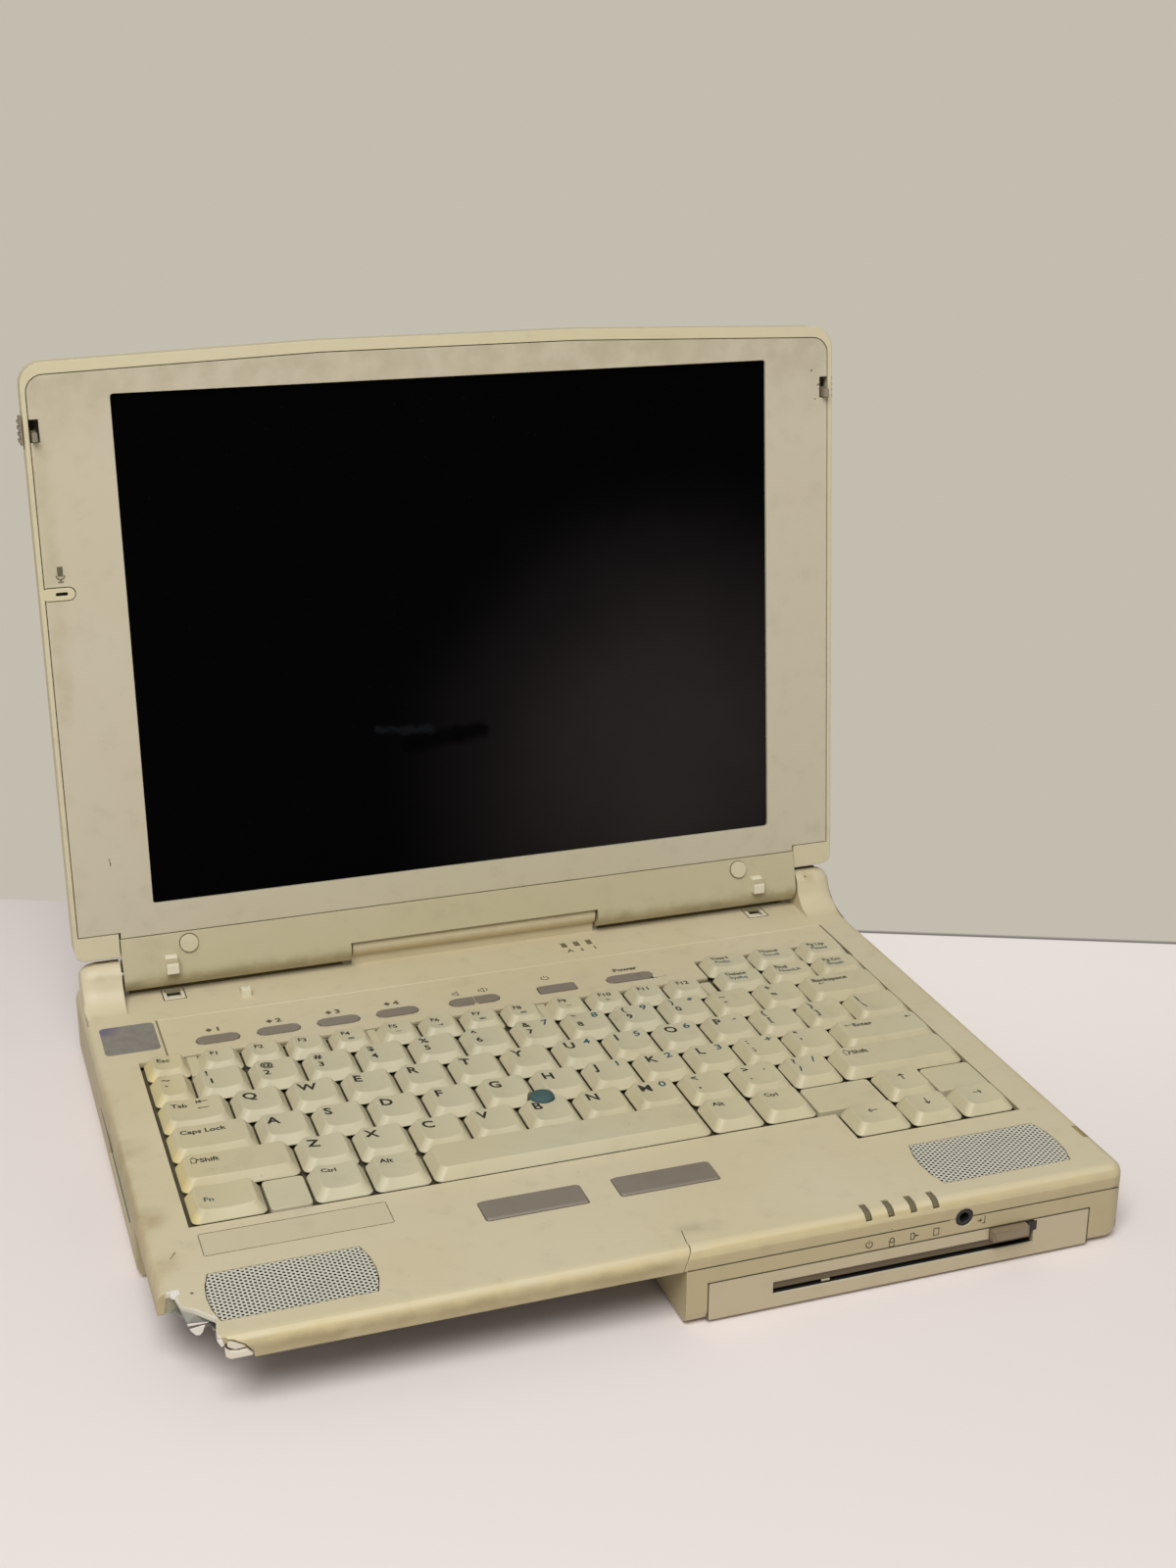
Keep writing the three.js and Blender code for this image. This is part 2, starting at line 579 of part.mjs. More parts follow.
const PORTS = {
  power_inlet: { x: -122, width: 9, height: 9, round: true },
  monitor_port: { x: -84, width: 31, height: 11 },
  printer_port: { x: -18, width: 53, height: 11 },
  serial_port: { x: 46, width: 31, height: 11 },
  mouse_port: { x: 84, width: 10, height: 10, round: true },
};
const PORT_Z = 13;

function portOutline({ x, width, height, round }, grow) {
  if (round) {
    return disc(x, PORT_Z, width / 2 + grow);
  }
  const taper = 1.6;
  const halfWidth = width / 2 + grow;
  const halfHeight = height / 2 + grow;
  return polygon([
    [x - halfWidth + taper, PORT_Z - halfHeight], [x + halfWidth - taper, PORT_Z - halfHeight],
    [x + halfWidth, PORT_Z + halfHeight], [x - halfWidth, PORT_Z + halfHeight],
  ]);
}

const boardPosts = [
  [-HALF + 15, BACK - 25], [-70, BACK - 21], [30, BACK - 21], [HALF - 15, BACK - 31],
  [-56, BAY_BACK + 12], [HALF - 13, -6],
];
const bracketPost = (side) => [side * (CAP_INNER - 4), HINGE_Y];
const BRACKET_FOOT_LOW = 10;

function bottomCase() {
  const tray = loft('z', [
    { points: baseOutline(2.6), at: UNDERSIDE },
    { points: baseOutline(0.9), at: UNDERSIDE + 0.9 },
    { points: baseOutline(0), at: UNDERSIDE + 3 },
    { points: baseOutline(0), at: CASE_TOP },
  ]);
  const hollow = loft('z', [
    { points: baseOutline(WALL + 1.5), at: FLOOR },
    { points: baseOutline(WALL), at: FLOOR + 2 },
    { points: baseOutline(WALL), at: SEAM + 1 },
  ]);
  const bay = block(-HALF - 1, BAY_RIGHT, FRONT - 1, BAY_BACK, 0, SEAM + 1);
  const bayWalls = joined([
    block(-HALF, BAY_RIGHT + WALL, BAY_BACK, BAY_BACK + WALL, UNDERSIDE, CASE_TOP),
    block(BAY_RIGHT, BAY_RIGHT + WALL, FRONT, BAY_BACK + WALL, UNDERSIDE, CASE_TOP),
  ]).intersect(tray);
  const posts = boardPosts.map(([x, y]) => prism('z', disc(x, y, 3), UNDERSIDE + 1, BOARD_LOW - GAP, 4));
  const bracketPosts = [1, -1].map((side) => {
    const [x, y] = bracketPost(side);
    return block(x - 3, x + 3, y - 5, y + 5, UNDERSIDE + 1, BRACKET_FOOT_LOW - GAP);
  });
  const cage = cardCageBox(0);
  const cageLedge = block(cage.x0 + 4, cage.x1 - 4, cage.y0 + 4, cage.y0 + 8, UNDERSIDE + 1, cage.z0 - GAP);
  const case_ = joined([tray.subtract(hollow).subtract(bay), bayWalls, ...posts, ...bracketPosts, cageLedge]);
  const driveOpening = block(
    DRIVE_LEFT - GAP, DRIVE_RIGHT + GAP, FRONT - 1, FRONT + WALL + 0.5, 0, DRIVE_TOP + GAP,
  );
  const driveSeat = block(
    DRIVE_LEFT + 8, DRIVE_RIGHT - 8, FRONT + WALL, FRONT + 3 * WALL, FLOOR, DRIVE_TOP + 1 + GAP,
  );
  const cardOpening = block(
    -HALF - 1, -HALF + WALL + 1, CARD_FRONT, CARD_BACK, CARD_LOW, CARD_LOW + CARD_HEIGHT,
  );
  const vents = [0, 1, 2, 3, 4].map((i) => block(
    HALF - WALL - 1, HALF + 1, 50 + i * 7, 53.4 + i * 7, UNDERSIDE + 7, UNDERSIDE + 15,
  ));
  const memory = MEMORY_COVER;
  const memoryPocket = centredBox(memory.x, memory.y, memory.width + 2 * GAP, memory.depth + 2 * GAP, 3);
  return cutBy(case_, [
    driveOpening,
    driveSeat,
    cardOpening,
    ...vents,
    ...Object.values(PORTS).map((port) => prism('y', portOutline(port, GAP), BACK - WALL - 1, BACK + 1, 5)),
    ...Object.values(footPlaces).map(
      ([x, y]) => prism('z', disc(x, y, FOOT_RADIUS + GAP), 0, UNDERSIDE + FOOT_POCKET, 6),
    ),
    prism('z', memoryPocket, 0, UNDERSIDE + memory.thickness + GAP, 1),
    prism('y', disc(JACK_X, SEAM, JACK_RADIUS + GAP), FRONT - 1, FRONT + WALL + 2, 6),
  ]);
}

// Grey coated liner over the battery bay, torn off with the corner and bent down along the break.
function bayLiner() {
  const side = -HALF + WALL + 1;
  const front = FRONT + LIP_RIB_SETBACK + LIP_RIB_THICKNESS + 1;
  const sheet = prism('z', polygon([
    [side, BAY_BACK], [side, FRONT + 30], [-HALF + 8.4, FRONT + 22], [-HALF + 13, FRONT + 17.4],
    [-HALF + 17.4, FRONT + 12], [-HALF + 17.4, front], [BAY_RIGHT, front], [BAY_RIGHT, BAY_BACK],
  ]), LINER_LOW, LINER_TOP);
  const tornFlap = prism('x', polygon([
    [FRONT + 20.4, LINER_TOP + 2.4], [FRONT + 18.8, LINER_TOP + 2.4], [FRONT + 17, LINER_LOW - 0.4],
    [FRONT + 15.4, LINER_LOW - 1.4], [FRONT + 16.2, LINER_LOW - 2.4], [FRONT + 18.4, LINER_LOW - 1],
  ]), -HALF + 7.8, -HALF + 13);
  const ribs = [0, 1, 2].map((i) => {
    const x = -HALF + LINER_RIBS.fromSide + i * LINER_RIBS.pitch;
    const back = BAY_BACK - LINER_RIBS.width - 3;
    return block(x, x + LINER_RIBS.width, back - LINER_RIBS.length, back, LINER_LOW - 1.6, LINER_TOP);
  });
  return joined([sheet, tornFlap, ...ribs]);
}

// Keyboard

function rowOfKeys(front, depth, start, widths) {
  let x = start;
  return widths.map((width) => {
    const key = { x0: x, x1: x + width, y0: front, y1: front + depth };
    x += width;
    return key;
  });
}

function unitRow(index, startUnits, units) {
  const front = KEYBOARD_FRONT + index * ROW_PITCH;
  return rowOfKeys(front, ROW_PITCH, KEYBOARD_LEFT + startUnits * KEY_PITCH, units.map((u) => u * KEY_PITCH));
}

const ones = (count) => new Array(count).fill(1);
const rest = (used) => KEYBOARD_UNITS - used;
const numberRow = unitRow(4, 0, [0.8, ...ones(12), rest(12.8)]);
const upperRow = unitRow(3, 0, [1.3, ...ones(12), rest(13.3)]);
const homeRow = unitRow(2, 0, [1.55, ...ones(11), rest(12.55)]);
const lowerRow = unitRow(1, 0, [2.05, ...ones(10), rest(12.05)]);
const spaceRow = unitRow(0, 0, [1.3, 0.75, 1, 1, 5, 1, 1, 1.4, 1, rest(13.45)]);
const functionRow = rowOfKeys(FUNCTION_ROW_FRONT, SHORT_ROW_PITCH, KEYBOARD_LEFT,
  [ESCAPE_UNITS, ...new Array(FUNCTION_KEYS).fill(FUNCTION_UNITS)].map((u) => u * KEY_PITCH));
const navWidths = new Array(3).fill((PANEL_RIGHT - NAV_LEFT) / 3);
const navRows = [FUNCTION_ROW_FRONT, FUNCTION_ROW_BACK].flatMap(
  (y) => rowOfKeys(y, SHORT_ROW_PITCH, NAV_LEFT, navWidths),
);
const upArrow = spaceRow[8];
const arrowWidths = [upArrow.x0 - ARROW_LEFT, KEY_PITCH, PANEL_RIGHT - upArrow.x1];
const arrowRow = rowOfKeys(ARROW_FRONT, ARROW_ROW_PITCH, ARROW_LEFT, arrowWidths);

const fillers = [spaceRow[1], spaceRow[7], spaceRow[9]];
const wideKeys = {
  space_bar: spaceRow[4],
  tab_key: upperRow[0],
  caps_lock_key: homeRow[0],
  left_shift_key: lowerRow[0],
  right_shift_key: lowerRow[11],
  enter_key: homeRow[12],
  backspace_key: numberRow[13],
};
const apart = new Set([...fillers, ...Object.values(wideKeys)]);
const fixedKeys = [numberRow, upperRow, homeRow, lowerRow, spaceRow, functionRow, navRows, arrowRow]
  .flat().filter((key) => !apart.has(key));
const stickPlace = { x: homeRow[6].x0, y: homeRow[6].y0 };

function keyCap({ x0, x1, y0, y1 }, low = KEY_BASE - 0.2) {
  const split = KEY_SPLIT / 2;
  const ring = (side, front, back, at) => ({
    points: [[x0 + side, y0 + front], [x1 - side, y0 + front], [x1 - side, y1 - back], [x0 + side, y1 - back]]
      .map(([u, v]) => new THREE.Vector2(u, v)),
    at,
  });
  return loft('z', [
    ring(split, split, split, low),
    ring(split, split, split, KEY_BASE),
    ring(split + KEY_SIDE_SLOPE, split + KEY_FRONT_SLOPE, split + KEY_BACK_SLOPE, KEY_BASE + KEY_HEIGHT),
  ]);
}

function keyStem({ x0, x1, y0, y1 }, size, low) {
  const x = (x0 + x1) / 2;
  const y = (y0 + y1) / 2;
  return block(x - size / 2, x + size / 2, y - size / 2, y + size / 2, low, KEY_BASE + 1);
}

function keyboard() {
  const margin = CARRIER_MARGIN;
  const low = CARRIER_TOP - CARRIER_THICKNESS;
  const carrier = keyboardOpening(margin).intersect(block(-HALF, HALF, FRONT, BACK, low, CARRIER_TOP));
  const caps = fixedKeys.map((key) => keyCap(key, low + 0.5));
  const plates = fillers.map((key, i) => {
    const front = i === 0 ? key.y0 + KEY_SPLIT : key.y0 + KEY_SPLIT + 1;
    return block(key.x0 + KEY_SPLIT, key.x1 - KEY_SPLIT, front, key.y1 - KEY_SPLIT, low + 0.5, DECK + 0.4);
  });
  const stickHole = prism(
    'z', disc(stickPlace.x, stickPlace.y, STICK_RADIUS + 0.7), CARRIER_TOP + 0.5, 2 * DECK, 6,
  );
  const stickBore = prism(
    'z', disc(stickPlace.x, stickPlace.y, STICK_POST_RADIUS + GAP), SEAM, CARRIER_TOP + 1, 4,
  );
  const guides = Object.values(wideKeys).map((key) => keyStem(key, KEY_STEM + 2 * RUNNING_GAP, low - 1));
  return cutBy(joined([carrier, ...caps, ...plates]), [stickHole, stickBore, ...guides]);
}

function wideKey(key) {
  return keyCap(key).add(keyStem(key, KEY_STEM, CARRIER_TOP - 1.2));
}

function pointingStick() {
  const low = CARRIER_TOP - CARRIER_THICKNESS;
  const top = KEY_BASE + KEY_HEIGHT - 0.1;
  const profile = [
    [0, low], [STICK_POST_RADIUS, low], [STICK_POST_RADIUS, KEY_BASE + 0.6], [STICK_RADIUS, KEY_BASE + 0.9],
    [STICK_RADIUS, top - 1.2], [STICK_RADIUS - 1, top], [0, top],
  ].map(([r, z]) => new THREE.Vector2(r, z));
  const geometry = new THREE.LatheGeometry(profile, 12).rotateX(Math.PI / 2);
  return solid(geometry).translate([stickPlace.x, stickPlace.y, 0]);
}

// Switch panel and its buttons

const oval = (x, width) => centredBox(x, BUTTON_Y, width, BUTTON_DEPTH, BUTTON_DEPTH / 2);
const ovalHole = (x, width) => centredBox(
  x, BUTTON_Y, width + 2 * RUNNING_GAP, BUTTON_DEPTH + 2 * RUNNING_GAP, BUTTON_DEPTH / 2 + RUNNING_GAP,
);
const suspendShape = (grow) => centredBox(
  SUSPEND_X, BUTTON_Y, SUSPEND_WIDTH + 2 * grow, BUTTON_DEPTH + 2 * grow, 1,
);

function switchPanel() {
  const plate = prism('z', panelShape(0), PANEL_TOP - PANEL_PLATE, PANEL_TOP);
  const through = [PANEL_TOP - PANEL_PLATE - 1, PANEL_TOP + 1];
  return cutBy(plate, [
    ...quickPlaces.map((x) => prism('z', ovalHole(x, QUICK_WIDTH), ...through, 1)),
    prism('z', ovalHole(VOLUME_X, 2 * VOLUME_WIDTH + RUNNING_GAP), ...through, 1),
    prism('z', suspendShape(RUNNING_GAP), ...through, 1),
    prism('z', ovalHole(POWER_X + POWER_TRAVEL / 2, POWER_WIDTH + POWER_TRAVEL), ...through, 1),
  ]);
}

const buttonSpan = [PANEL_TOP - BUTTON_SINK, PANEL_TOP + BUTTON_PROUD];

function volumeButton(side) {
  const whole = prism('z', oval(VOLUME_X, 2 * VOLUME_WIDTH + RUNNING_GAP), ...buttonSpan, 1);
  const reach = VOLUME_WIDTH + 1;
  const [x0, x1] = mirrored(side, RUNNING_GAP / 2, reach);
  return whole.intersect(block(VOLUME_X + x0, VOLUME_X + x1, BUTTON_Y - reach, BUTTON_Y + reach, 0, 2 * DECK));
}

function clickButton(x) {
  const shape = (inset) => outline(
    centredBox(x, CLICK_Y, CLICK_WIDTH - 2 * inset, CLICK_DEPTH - 2 * inset, 0.9), 1,
  );
  return loft('z', [
    { points: shape(0), at: CEILING - 1 },
    { points: shape(0), at: DECK + 0.1 },
    { points: shape(0.5), at: DECK + 0.6 },
  ]);
}

// Speakers and lights

function speakerGrille(side) {
  const top = DECK - 0.1;
  const plate = prism('z', grilleOutline(side, 0), top - GRILLE_THICKNESS, top, 4);
  const stepX = GRILLE_WIDTH / GRILLE_COLUMNS;
  const stepY = GRILLE_DEPTH / GRILLE_ROWS;
  const half = 1.5;
  const holes = [];
  for (let row = 0; row < GRILLE_ROWS; row += 1) {
    for (let column = 0; column < GRILLE_COLUMNS; column += 1) {
      const stagger = row % 2 ? 0.25 : -0.25;
      const x = side * GRILLE_X + (column - (GRILLE_COLUMNS - 1) / 2 + stagger) * stepX;
      const y = GRILLE_Y + (row - (GRILLE_ROWS - 1) / 2) * stepY;
      holes.push(
        prism('z', polygon([[x - half, y], [x, y - half], [x + half, y], [x, y + half]]), top - 2, top + 1),
      );
    }
  }
  return cutBy(plate, holes);
}

function speaker(side) {
  const low = LINER_TOP + GAP;
  const top = DECK - 0.1 - GRILLE_THICKNESS - GAP;
  const profile = [
    [0, low], [SPEAKER_RADIUS, low], [SPEAKER_RADIUS, top],
    [SPEAKER_RADIUS - 1.6, top], [SPEAKER_RADIUS - 2.6, top - 0.6],
    [4, top - 2], [0, top - 1.6],
  ].map(([r, z]) => new THREE.Vector2(r, z));
  const driver = solid(new THREE.LatheGeometry(profile, 12).rotateX(Math.PI / 2));
  return driver.translate([side * GRILLE_X, GRILLE_Y, 0]);
}

// The fingers of the status lights follow the rounded front lip, those of the lock lights are flat.
function lightPipe(places, y, length, lip) {
  const low = CEILING - GAP - 1.2;
  const top = DECK - 0.3;
  const y0 = y - length / 2;
  const y1 = y + length / 2;
  const bar = block(places[0] - 2, places[places.length - 1] + 2, y0 + 1.5 * lip, y1, low, CEILING - GAP);
  const profile = polygon([
    [y1, CEILING - 1], [y1, top], [y0 + lip, top], [y0 + 0.35 * lip, top - 0.4 * lip], [y0, top - lip],
    [y0 + 1.5 * lip, CEILING - 0.6],
  ]);
  return joined([bar, ...places.map((x) => prism('x', profile, x - LIGHT_WIDTH / 2, x + LIGHT_WIDTH / 2))]);
}

function headphoneJack() {
  const shell = prism('y', disc(JACK_X, SEAM, JACK_RADIUS), FRONT + 0.2, FRONT + 13, 6);
  return shell.subtract(prism('y', disc(JACK_X, SEAM, JACK_BORE), FRONT - 1, FRONT + 11, 4));
}

// Diskette drive

const driveCentre = (DISK_SLOT_LEFT + DISK_SLOT_RIGHT) / 2;
const driveBodyFront = FRONT + WALL + 0.5 + GAP;
const slotHigh = DISK_SLOT_LOW + DISK_SLOT_HEIGHT;

function ejectOpening(grow) {
  return block(
    EJECT_X - EJECT_WIDTH / 2 - grow, DISK_SLOT_RIGHT, FRONT - 8, driveBodyFront + 9,
    EJECT_LOW - grow, EJECT_LOW + EJECT_HEIGHT + grow,
  );
}

function floppyDrive() {
  const x0 = driveCentre - DRIVE_BODY_WIDTH / 2;
  const body = block(
    x0, x0 + DRIVE_BODY_WIDTH, driveBodyFront, driveBodyFront + DRIVE_BODY_LENGTH, FLOOR + GAP, DRIVE_TOP + 1,
  );
  const diskSpace = block(
    DISK_SLOT_LEFT, DISK_SLOT_RIGHT, driveBodyFront - 1,
    driveBodyFront + DRIVE_BODY_LENGTH - 4, DISK_SLOT_LOW, slotHigh,
  );
  return cutBy(body, [diskSpace, ejectOpening(GAP)]);
}

function floppyBezel() {
  const face = prism(
    'y', roundedRectangle(DRIVE_LEFT, DRIVE_RIGHT, UNDERSIDE, DRIVE_TOP, 0.8), FRONT, FRONT + WALL + 0.5, 1,
  );
  const slot = block(DISK_SLOT_LEFT, DISK_SLOT_RIGHT, FRONT - 1, FRONT + 8, DISK_SLOT_LOW, slotHigh);
  return cutBy(face, [slot, ejectOpening(RUNNING_GAP)]);
}

function ejectButton() {
  const front = FRONT - EJECT_PROUD;
  const cap = block(
    EJECT_X - EJECT_WIDTH / 2, EJECT_X + EJECT_WIDTH / 2, front + 0.6, driveBodyFront + 4,
    EJECT_LOW, EJECT_LOW + EJECT_HEIGHT,
  );
  const face = centredBox(EJECT_X, EJECT_LOW + EJECT_HEIGHT / 2, EJECT_WIDTH - 1, EJECT_HEIGHT - 1, 0.6);
  return cap.add(prism('y', face, front, front + 1, 1));
}

// Card cage, boards and drives

function cardCageBox(grow) {
  return {
    x0: -HALF + WALL + 1 + GAP - grow,
    x1: -HALF + WALL + 1 + CARD_DEPTH + grow,
    y0: CARD_FRONT - 2 - grow,
    y1: CARD_BACK + 2 + grow,
    z0: CARD_LOW - 0.8 - grow,
    z1: CARD_LOW + CARD_HEIGHT + 0.6 + grow,
  };
}

function cardCage() {
  const { x0, x1, y0, y1, z0, z1 } = cardCageBox(0);
  const space = block(x0 - 1, x1 - 2, CARD_FRONT, CARD_BACK, CARD_LOW, CARD_LOW + CARD_HEIGHT);
  return block(x0, x1, y0, y1, z0, z1).subtract(space);
}

function mainBoard() {
  const cage = cardCageBox(1);
  const margin = WALL + 2;
  const shape = polygon([
    [-HALF + margin, BAY_BACK + WALL + 2], [BAY_RIGHT + WALL + 4, BAY_BACK + WALL + 2],
    [BAY_RIGHT + WALL + 4, driveBodyFront + DRIVE_BODY_LENGTH + 2],
    [HALF - margin, driveBodyFront + DRIVE_BODY_LENGTH + 2],
    [HALF - margin, BACK - margin - 8], [-HALF + margin, BACK - margin - 8],
  ]);
  const board = prism('z', shape, BOARD_LOW, BOARD_LOW + BOARD_THICKNESS);
  const ledgeNotch = block(cage.x0, cage.x1, cage.y0 - 20, cage.y0 + 12, 0, SEAM);
  const bracketNotches = [1, -1].map((side) => {
    const [x, y] = bracketPost(side);
    return block(x - 5, x + 5, y - 7, y + 20, 0, SEAM);
  });
  return cutBy(board, [ledgeNotch, ...bracketNotches]);
}

function hardDrive() {
  const { fromSide, y, width, depth, height } = HARD_DRIVE;
  const x = HALF - fromSide;
  const low = BOARD_LOW + BOARD_THICKNESS + GAP;
  return block(x - width / 2, x + width / 2, y - depth / 2, y + depth / 2, low, low + height);
}

function batteryContacts() {
  const { fromBayRight, width, depth, low, high, slotPitch, slotWidth } = CONTACTS;
  const left = BAY_RIGHT - fromBayRight;
  const front = BAY_BACK - GAP - depth;
  const housing = block(left, left + width, front, BAY_BACK - GAP, low, high);
  const slots = [-2, -1, 0, 1, 2].map((i) => {
    const x = left + width / 2 + i * slotPitch;
    return block(x - slotWidth / 2, x + slotWidth / 2, front - 1, front + 0.6 * depth, low + 1.6, high - 1.6);
  });
  return cutBy(housing, slots);
}

function rearPort(port) {
  const shell = prism('y', portOutline(port, 0), BACK - WALL - 9, BACK - 0.4, 5);
  const inner = prism('y', portOutline(port, -1.2), BACK - 6, BACK + 1, 5);
  const core = prism('y', portOutline(port, port.round ? -3.2 : -2.6), BACK - 7, BACK - 1.6, 4);
  return shell.subtract(inner).add(core);
}

function memoryCover() {
  const { x, y, width, depth, thickness } = MEMORY_COVER;
  return prism('z', centredBox(x, y, width, depth, 3), UNDERSIDE, UNDERSIDE + thickness, 1);
}

function foot([x, y]) {
  return prism('z', disc(x, y, FOOT_RADIUS), 0, UNDERSIDE + FOOT_POCKET - GAP, 6);
}

// Hinge brackets: the base side carries the shaft, the lid side wraps it with a sleeve.

function baseBracket(side) {
  const [plate0, plate1] = mirrored(side, CAP_INNER + 3.5, CAP_INNER + 6);
  const [foot0, foot1] = mirrored(side, CAP_INNER - 8, CAP_INNER + 6);
  const [shaft0, shaft1] = mirrored(side, CAP_INNER + 6 - SHAFT_LENGTH, CAP_INNER + 6);
  const upright = block(
    plate0, plate1, HINGE_Y - 3.6, HINGE_Y + 3.6, BRACKET_FOOT_LOW, HINGE_Z + SHAFT_RADIUS - 0.3,
  );
  const sole = block(foot0, foot1, HINGE_Y - 5, HINGE_Y + 5, BRACKET_FOOT_LOW, BRACKET_FOOT_LOW + 2);
  return joined([upright, sole, prism('x', disc(HINGE_Y, HINGE_Z, SHAFT_RADIUS), shaft0, shaft1, 6)]);
}

const sleeveFrom = CAP_INNER + 6 - SHAFT_LENGTH + 3;
const sleeveTo = sleeveFrom + 14;
const ARM_TOP = 60;
const LID_INNER_BACK = LID_DEPTH - BEZEL_FRONT - LID_BACK_WALL;

function lidBracket(side) {
  const [x0, x1] = mirrored(side, sleeveFrom, sleeveTo);
  const sleeve = prism('x', disc(0, 0, SLEEVE_RADIUS), x0, x1, 7);
  const bore = prism('x', disc(0, 0, SHAFT_RADIUS + RUNNING_GAP), x0 - 1, x1 + 1, 6);
  const arm = prism('x', polygon([
    [1.6, 1], [3.4, 1], [3.4, LID_FOOT + 3],
    [LID_INNER_BACK - GAP, LID_FOOT + 7], [LID_INNER_BACK - GAP, ARM_TOP],
    [LID_INNER_BACK - GAP - 1.6, ARM_TOP], [LID_INNER_BACK - GAP - 1.6, LID_FOOT + 8], [1.6, LID_FOOT + 4],
  ]), x0, x1);
  return sleeve.add(arm).subtract(bore);
}

// Lid, in its own frame: the hinge line is the X axis, +Z up the screen, -Y towards the user.

function lidOutline(inset, rim = 0) {
  const half = LID_WIDTH / 2 - inset;
  const r = LID_CORNER - Math.min(inset, LID_CORNER - 0.5);
  const top = LID_SIDE_TOP + rim - inset;
  const low = LID_FOOT + inset;
  const shape = new THREE.Shape()
    .absarc(half - r / 2, low + r / 2, r / 2, -Math.PI / 2, 0)
    .absarc(half - r, top - r, r, 0, Math.PI / 2)
    .quadraticCurveTo(0, top + 2 * LID_ARCH, -half + r, top)
    .absarc(-half + r, top - r, r, Math.PI / 2, Math.PI)
    .absarc(-half + r / 2, low + r / 2, r / 2, Math.PI, 1.5 * Math.PI);
  return outline(shape, 3);
}

const lidBack = LID_DEPTH - BEZEL_FRONT;
const micTab = (grow) => roundedRectangle(
  -LID_WIDTH / 2 + LID_WALL - 1, -LID_WIDTH / 2 + MIC_TAB_LENGTH + grow,
  MIC_Z - MIC_TAB_HEIGHT / 2 - grow, MIC_Z + MIC_TAB_HEIGHT / 2 + grow, MIC_TAB_HEIGHT / 2 + grow,
);

function latchWindow(side) {
  const [x0, x1] = mirrored(side, LID_WIDTH / 2 - LID_WALL - 1, LID_WIDTH / 2 + 1);
  const half = LATCH_HEIGHT / 2 + LATCH_TRAVEL / 2 + GAP;
  return block(x0, x1, 1 - GAP, 5 + GAP, LATCH_Z - half, LATCH_Z + half);
}

function lidBackCover() {
  const tray = loft('y', [
    { points: lidOutline(4.5, LID_TOP_RIM), at: -lidBack },
    { points: lidOutline(1.8, LID_TOP_RIM), at: -lidBack + 0.8 },
    { points: lidOutline(0.4, LID_TOP_RIM), at: -lidBack + 2.8 },
    { points: lidOutline(0, LID_TOP_RIM), at: -lidBack + 5 },
    { points: lidOutline(0, LID_TOP_RIM), at: BEZEL_FRONT },
  ]);
  const hollow = loft('y', [
    { points: lidOutline(4.5), at: -LID_INNER_BACK },
    { points: lidOutline(LID_WALL), at: -LID_INNER_BACK + 3 },
    { points: lidOutline(LID_WALL), at: BEZEL_FRONT + 1 },
  ]);
  const feet = [1, -1].map((side) => {
    const [x0, x1] = mirrored(side, BARREL_OUTER + 0.4, LID_WIDTH / 2 - LID_WALL / 2);
    return block(x0, x1, -BEZEL_FRONT, -BEZEL_FRONT + 2, LID_FOOT + 1, BEZEL_FOOT);
  });
  const tab = prism('y', micTab(0), -BEZEL_FRONT, -BEZEL_FRONT + 2.4, 3);
  const tabSlot = centredBox(MIC_X, MIC_Z, 4.2, 1.3, 0.5);
  const stripClearance = block(
    -BARREL_OUTER - GAP, BARREL_OUTER + GAP, -BEZEL_FRONT - 1,
    -BEZEL_FRONT + STRIP_THICKNESS + 1.1, 0, STRIP_TOP + GAP,
  );
  const armSlots = [1, -1].map((side) => {
    const [x0, x1] = mirrored(side, sleeveFrom - GAP, sleeveTo + GAP);
    return block(x0, x1, -1, 4, LID_FOOT - 1, LID_FOOT + LID_WALL + 1);
  });
  return cutBy(joined([tray.subtract(hollow), ...feet, tab]), [
    prism('y', tabSlot, -BEZEL_FRONT - 1, 0, 1), stripClearance, ...armSlots, latchWindow(1), latchWindow(-1),
  ]);
}

function screenBezel() {
  const inset = LID_WALL + GAP;
  const plate = loft('y', [
    { points: lidOutline(inset), at: BEZEL_FRONT - BEZEL_THICKNESS },
    { points: lidOutline(inset), at: BEZEL_FRONT - 0.2 },
  ]);
  const screenLeft = SCREEN_SHIFT - SCREEN_WIDTH / 2;
  const aperture = roundedRectangle(
    screenLeft, screenLeft + SCREEN_WIDTH, SCREEN_BOTTOM, SCREEN_BOTTOM + SCREEN_HEIGHT, 1,
  );
  const below = joined([
    block(-HALF, HALF, -10, 10, 0, STRIP_TOP + GAP),
    ...[1, -1].map((side) => {
      const [x0, x1] = mirrored(side, BARREL_OUTER - GAP, LID_WIDTH);
      return block(x0, x1, -10, 10, 0, BEZEL_FOOT + GAP);
    }),
  ]);
  const latchSlots = [1, -1].map((side) => {
    const [x0, x1] = mirrored(side, LID_WIDTH / 2 - inset - LATCH_WIDTH, LID_WIDTH / 2);
    const half = LATCH_HEIGHT / 2;
    return block(x0, x1, -10, 10, LATCH_Z - half, LATCH_Z + half);
  });
  return cutBy(
    plate, [prism('y', aperture, -10, 10, 1), below, prism('y', micTab(GAP), -10, 10, 3), ...latchSlots],
  );
}

